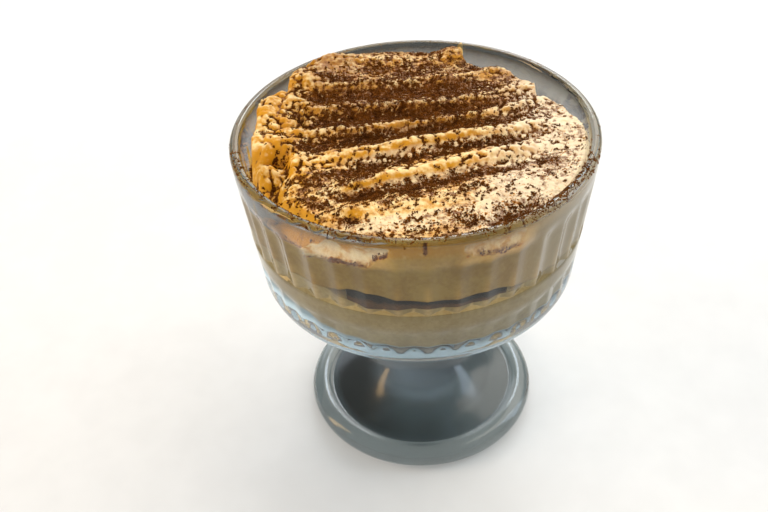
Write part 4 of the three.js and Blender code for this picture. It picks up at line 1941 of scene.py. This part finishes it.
@dataclass
class RimSmear:
    """A thin strip of cream up the inside of the glass to its rim at the back."""

    coupe: Coupe
    azimuth: float = 72.3
    low: float = 102.0
    high: float = 107.75
    width: float = 1.2
    thickness: float = 0.8

    def lay(self, points: Array) -> Array:
        """Lays a ball of radius 1 mm along the wall as a thin strip.

        Args:
            points: Rows of x, y, z of the ball; x runs round the glass and y out of it.

        Returns:
            The moved rows.
        """
        across, out, up = points.T
        height = mix(self.low, self.high, 0.5 + 0.5 * up)
        half = self.width * (1.3 - 0.4 * up) / self.coupe.rim_radius
        azimuth = np.radians(self.azimuth - 0.5 * up) - across * half
        lip = self.coupe.height - self.coupe.wall / 2
        radius = self.coupe.inner_radius(height) + 0.15 + 0.7 * np.maximum(0, height - lip)
        radius = radius + np.minimum(out, 0) * self.thickness
        return np.column_stack([radius * np.cos(azimuth), radius * np.sin(azimuth), height])

    def build(self, material: Material) -> Piece:
        """Models the strip and dresses it as the upper cream.

        Args:
            material: Material of the upper cream.

        Returns:
            The smear.
        """
        shape = bmesh.new()
        bmesh.ops.create_icosphere(shape, subdivisions=4, radius=MM)
        reshape(shape, self.lay)
        bmesh.ops.recalc_face_normals(shape, faces=shape.faces)
        smear = piece_from("cream_smear_on_rim", shape, None)
        for name in ("tone", "second", "side", "cocoa", "haze"):
            paint(smear, name, 0.0)
        paint(smear, "coarse", 1.0)
        smear.data.materials.append(material)
        return smear


class Grains:
    """Scatters small eight-sided grains and joins them in one mesh."""

    CORNERS = np.array([(1, 0, 0), (-1, 0, 0), (0, 1, 0), (0, -1, 0), (0, 0, 1), (0, 0, -1)], dtype=float)
    FACES = np.array([
        (0, 2, 4), (2, 1, 4), (1, 3, 4), (3, 0, 4), (2, 0, 5), (1, 2, 5), (3, 1, 5), (0, 3, 5),
    ])

    def __init__(self, seed: int) -> None:
        """Seeds the scatter."""
        self.draw = np.random.default_rng(seed)

    def turned(self, count: int) -> Array:
        """Random turns, one matrix a grain.

        Args:
            count: Number of grains.

        Returns:
            A stack of 3 by 3 matrices.
        """
        given = self.draw.normal(size=(count, 4))
        w, x, y, z = (given / np.linalg.norm(given, axis=1)[:, None]).T
        rows = [
            [1 - 2 * (y * y + z * z), 2 * (x * y - z * w), 2 * (x * z + y * w)],
            [2 * (x * y + z * w), 1 - 2 * (x * x + z * z), 2 * (y * z - x * w)],
            [2 * (x * z - y * w), 2 * (y * z + x * w), 1 - 2 * (x * x + y * y)],
        ]
        return np.moveaxis(np.array(rows), 2, 0)

    def mesh(self, name: str, places: Array, sizes: Array) -> bpy.types.Mesh:
        """Joins grains in one mesh.

        Args:
            name: Name of the mesh.
            places: Rows of x, y, z in mm.
            sizes: Radius of each grain in mm.

        Returns:
            The mesh.
        """
        count = len(places)
        stretch = self.draw.uniform(0.6, 1.25, (count, 1, 3))
        corners = self.CORNERS[None] * stretch * sizes[:, None, None]
        points = np.einsum("nij,nkj->nki", self.turned(count), corners) + places[:, None]
        faces = self.FACES[None] + 6 * np.arange(count)[:, None, None]
        mesh = bpy.data.meshes.new(name)
        mesh.from_pydata((points.reshape(-1, 3) * MM).tolist(), [], faces.reshape(-1, 3).tolist())
        mesh.validate()
        return mesh


@dataclass
class Cocoa:
    """Cocoa powder: a bed of fine grains, clumps on the cream, and grains on the rim of the glass."""

    coupe: Coupe
    surface: CreamSurface
    bed_count: int = 22000
    clump_count: int = 2100
    rim_count: int = 440
    bed_cover: Pair = (0.3, 0.8)
    bed_sizes: Pair = (0.1, 0.24)
    bed_jitter: float = 0.2
    clump_members: tuple[int, int] = (3, 13)
    clump_sizes: Pair = (0.12, 0.33)
    clump_spread: Pair = (0.07, 0.026)
    clump_thinning: float = 0.3
    rim_members: tuple[int, int] = (2, 8)
    rim_sizes: Pair = (0.1, 0.3)
    rim_heavy: Pair = (-42, 15)
    rim_heavy_share: float = 0.42
    rim_front: Pair = (-170, -30)
    rim_front_share: float = 0.46
    rim_across: Pair = (95, 36)
    lowest: float = 92.0
    seed: int = 5

    def build(self, cream: Piece, finish: CocoaFinish, effects: Effects) -> list[Piece]:
        """Scatters and dresses the cocoa.

        Args:
            cream: The upper cream that it lies on.
            finish: Its material.
            effects: The shared node groups.

        Returns:
            The pieces of cocoa.
        """
        grains = Grains(self.seed)
        material = finish.material(effects)
        places, weights, normals = self.faces(cream)
        kinds = {
            "cocoa_bed": self.bed(grains, places, weights, normals),
            "cocoa_clumps": self.clumps(grains, places, weights, normals),
            "cocoa_on_rim": self.on_rim(grains),
        }
        pieces = []
        for name, (spots, sizes) in kinds.items():
            piece = tie(name, grains.mesh(name, spots, sizes), None)
            piece.data.materials.append(material)
            pieces.append(piece)
        return pieces

    def faces(self, cream: Piece) -> tuple[Array, Array, Array]:
        """Centres, weights and normals of the faces on the top of the cream.

        Args:
            cream: The upper cream.

        Returns:
            Centres in mm, the cocoa on each face by its area, and the normals.
        """
        polygons = cream.data.polygons
        count = len(polygons)
        centre, normal = np.empty(3 * count, np.float32), np.empty(3 * count, np.float32)
        area = np.empty(count, np.float32)
        polygons.foreach_get("center", centre)
        polygons.foreach_get("normal", normal)
        polygons.foreach_get("area", area)
        centre = centre.reshape(-1, 3).astype(float) / MM
        normal = normal.reshape(-1, 3).astype(float)
        inside = np.hypot(centre[:, 0], centre[:, 1]) < self.coupe.inner_radius(centre[:, 2]) - 0.3
        top = (normal[:, 2] > 0.25) & inside & (centre[:, 2] > self.lowest)
        starts = np.empty(count, np.int32)
        polygons.foreach_get("loop_start", starts)
        corners = np.empty(len(cream.data.loops), np.int32)
        cream.data.loops.foreach_get("vertex_index", corners)
        cocoa = np.empty(len(cream.data.vertices), np.float32)
        cream.data.attributes["cocoa"].data.foreach_get("value", cocoa)
        return centre, np.where(top, area, 0) * cocoa[corners[starts]], normal

    def bed(self, grains: Grains, places: Array, weights: Array, normals: Array) -> tuple[Array, Array]:
        """Fine grains where the cocoa is thick.

        Args:
            grains: The scatter.
            places: Centres of the cream's faces.
            weights: Cocoa on each face.
            normals: Normals of the faces.

        Returns:
            Places and sizes of the grains.
        """
        share = weights * ease(self.surface.cover(places[:, 0], places[:, 1]), *self.bed_cover)
        chosen = grains.draw.choice(len(places), self.bed_count, p=share / share.sum())
        jitter = self.bed_jitter
        spots = places[chosen] + grains.draw.uniform(-jitter, jitter, (self.bed_count, 3))
        sizes = grains.draw.uniform(*self.bed_sizes, self.bed_count)
        return spots + normals[chosen] * sizes[:, None] * 0.5, sizes

    def clumps(self, grains: Grains, places: Array, weights: Array, normals: Array) -> tuple[Array, Array]:
        """Clumps of a few grains, spread all over the cream.

        Args:
            grains: The scatter.
            places: Centres of the cream's faces.
            weights: Cocoa on each face.
            normals: Normals of the faces.

        Returns:
            Places and sizes of the grains.
        """
        right = ease(places[:, 0] + 0.2 * places[:, 1], 14, 30)
        back = ease(places[:, 1], 0, 20)
        share = weights * mix(1.0, self.clump_thinning, back) * mix(1.0, self.clump_thinning, right)
        chosen = grains.draw.choice(len(places), self.clump_count, p=share / share.sum())
        members = grains.draw.integers(*self.clump_members, self.clump_count)
        parent = np.repeat(chosen, members)
        least, per_member = self.clump_spread
        spread = np.repeat(least + per_member * members, members)
        shift = grains.draw.normal(size=(len(parent), 3)) * spread[:, None]
        normal = normals[parent]
        shift -= normal * np.sum(shift * normal, axis=1)[:, None]
        spots = places[parent] + shift
        spots[:, 2] = np.maximum(spots[:, 2], places[parent][:, 2] - 0.2)
        sizes = grains.draw.uniform(*self.clump_sizes, len(parent))
        return spots + normal * sizes[:, None] * 0.35, sizes

    def on_rim(self, grains: Grains) -> tuple[Array, Array]:
        """Grains on the round lip of the glass, most of them at the front right.

        Args:
            grains: The scatter.

        Returns:
            Places and sizes of the grains.
        """
        heavy = grains.draw.normal(*self.rim_heavy, int(self.rim_heavy_share * self.rim_count))
        front = grains.draw.uniform(*self.rim_front, int(self.rim_front_share * self.rim_count))
        light = grains.draw.uniform(-180, 180, self.rim_count - len(heavy) - len(front))
        members = grains.draw.integers(*self.rim_members, self.rim_count)
        azimuth = np.radians(np.repeat(np.concatenate([heavy, front, light]), members))
        across = np.clip(grains.draw.normal(*self.rim_across, self.rim_count), 15, 170)
        across = np.repeat(across, members)
        count = len(azimuth)
        azimuth = azimuth + grains.draw.normal(0, 0.007, count)
        across = np.radians(across + grains.draw.normal(0, 11, count))
        half = self.coupe.wall / 2
        sizes = grains.draw.uniform(*self.rim_sizes, count) * np.where(np.sin(azimuth) < -0.2, 1.0, 0.6)
        radius = self.coupe.rim_radius - half + (half + 0.3 * sizes) * np.cos(across)
        height = self.coupe.height - half + (half + 0.3 * sizes) * np.sin(across)
        return np.column_stack([radius * np.cos(azimuth), radius * np.sin(azimuth), height]), sizes


@dataclass(frozen=True)
class Lamp:
    """A soft lamp that isn't seen through the glass, in metres and watts."""

    name: str
    place: tuple[float, float, float]
    size: Pair
    power: float
    colour: Colour
    mirrored: bool = True

    def hang(self, aim: tuple[float, float, float]) -> None:
        """Hangs the lamp.

        Args:
            aim: The point that it faces, in metres.
        """
        data = bpy.data.lights.new(self.name, "AREA")
        data.shape = "RECTANGLE"
        data.size, data.size_y = self.size
        data.energy = self.power
        data.color = linear(*self.colour)[:3]
        lamp = bpy.data.objects.new(self.name, data)
        way = Vector(aim) - Vector(self.place)
        lamp.rotation_euler = way.to_track_quat("-Z", "Y").to_euler()
        lamp.location = self.place
        lamp.visible_transmission = False
        lamp.visible_glossy = self.mirrored
        bpy.context.collection.objects.link(lamp)


@dataclass
class Studio:
    """Camera, lamps and the pale floor."""

    focal: float = 966.0
    picture_width: float = 768.0
    eye: tuple[float, float, float] = (0.0, -233.6, 256.1)
    pitch: float = 40.03
    yaw: float = -2.59
    roll: float = -3.25
    floor_size: float = 4000.0
    aim: tuple[float, float, float] = (0.0, 0.0, 0.09)
    lamps: tuple[Lamp, ...] = (
        Lamp("window", (0.32, 0.45, 0.80), (1.2, 1.2), 10.0, (255, 247, 235)),
        Lamp("back_panel", (-0.1, 1.15, 0.50), (1.3, 0.7), 4.5, (232, 242, 255)),
        Lamp("left_softbox", (-0.85, -0.20, 0.36), (0.9, 0.9), 6.0, (240, 243, 246), False),
        Lamp("front_softbox", (0.10, -0.95, 0.26), (1.0, 0.6), 5.0, (255, 242, 226), False),
        Lamp("amber_strip", (-0.86, -0.02, 0.42), (0.16, 0.78), 2.4, (255, 210, 146)),
        Lamp("blue_strip", (0.85, 0.12, 0.42), (0.28, 0.8), 2.7, (214, 232, 250)),
        Lamp("rim_strip", (0.12, 0.82, 0.80), (0.28, 0.2), 1.6, (225, 240, 255)),
    )
    sky_colour: Colour = (236, 242, 248)
    sky_strength: float = 0.30

    def camera(self) -> None:
        """Sets up the camera at the viewing angle."""
        pitch, yaw, roll = (math.radians(angle) for angle in (self.pitch, self.yaw, self.roll))
        forward = Vector((
            math.sin(yaw) * math.cos(pitch), math.cos(yaw) * math.cos(pitch), -math.sin(pitch),
        ))
        level = forward.cross(Vector((0, 0, 1))).normalized()
        above = level.cross(forward)
        right = math.cos(roll) * level + math.sin(roll) * above
        up = -math.sin(roll) * level + math.cos(roll) * above
        data = bpy.data.cameras.new("camera")
        data.sensor_width = 36.0
        data.lens = self.focal * data.sensor_width / self.picture_width
        data.clip_start = 0.01
        camera = bpy.data.objects.new("camera", data)
        turn = Matrix((right, up, -forward)).transposed().to_4x4()
        camera.matrix_world = Matrix.Translation(Vector(self.eye) * MM) @ turn
        bpy.context.collection.objects.link(camera)
        bpy.context.scene.camera = camera

    def light(self) -> None:
        """Hangs the lamps and sets the faint light from all round."""
        for lamp in self.lamps:
            lamp.hang(self.aim)
        world = bpy.data.worlds.new("studio")
        world.use_nodes = True
        sky = world.node_tree.nodes["Background"]
        sky.inputs["Color"].default_value = linear(*self.sky_colour)
        sky.inputs["Strength"].default_value = self.sky_strength
        bpy.context.scene.world = world
        bpy.context.scene.view_settings.view_transform = "Standard"

    def floor(self, finish: FloorFinish, effects: Effects) -> None:
        """Lays the floor.

        Args:
            finish: Its material.
            effects: The shared node groups.
        """
        shape = bmesh.new()
        bmesh.ops.create_grid(shape, x_segments=4, y_segments=4, size=self.floor_size * MM / 2)
        mesh = bpy.data.meshes.new("floor")
        shape.to_mesh(mesh)
        shape.free()
        floor = bpy.data.objects.new("floor", mesh)
        bpy.context.collection.objects.link(floor)
        floor.data.materials.append(finish.material(effects))


def report(piece: Piece) -> None:
    """Logs the name and triangle count of a piece."""
    count = sum(len(polygon.vertices) - 2 for polygon in piece.data.polygons)
    log.info("%s: %d triangles", piece.name, count)


def main() -> None:
    """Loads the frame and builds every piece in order."""
    logging.basicConfig(level=logging.INFO, format="%(name)s %(message)s")
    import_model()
    studio = Studio()
    studio.camera()
    effects = Effects()
    studio.light()
    studio.floor(FloorFinish(), effects)
    coupe = Coupe()
    report(coupe.build(GlassFinish()))
    sponge = SpongeLayer(coupe)
    report(sponge.build(SpongeFinish(), effects))
    lower = LowerCream(coupe, sponge)
    lower_finish = CreamFinish(
        # Its second colour is the pale blue of the painted reflection on the base.
        "lower_cream", pale=(240, 208, 140), golden=(206, 158, 80), second=(194, 220, 234),
        # The lower side colours are partly the cream's own and partly painted shade.
        side=(214, 187, 128), side_dark=(190, 160, 100),
    )
    report(lower.build(lower_finish, effects))
    surface = CreamSurface(coupe)
    upper = UpperCream(coupe, sponge, surface)
    upper_finish = CreamFinish(
        "upper_cream", pale=(247, 215, 149), golden=(211, 145, 15), second=(237, 219, 186),
    )
    cream = upper.build(upper_finish, effects)
    report(cream)
    report(RimSmear(coupe).build(cream.data.materials[0]))
    for piece in Cocoa(coupe, surface).build(cream, CocoaFinish(), effects):
        report(piece)


if __name__ == "__main__":
    main()
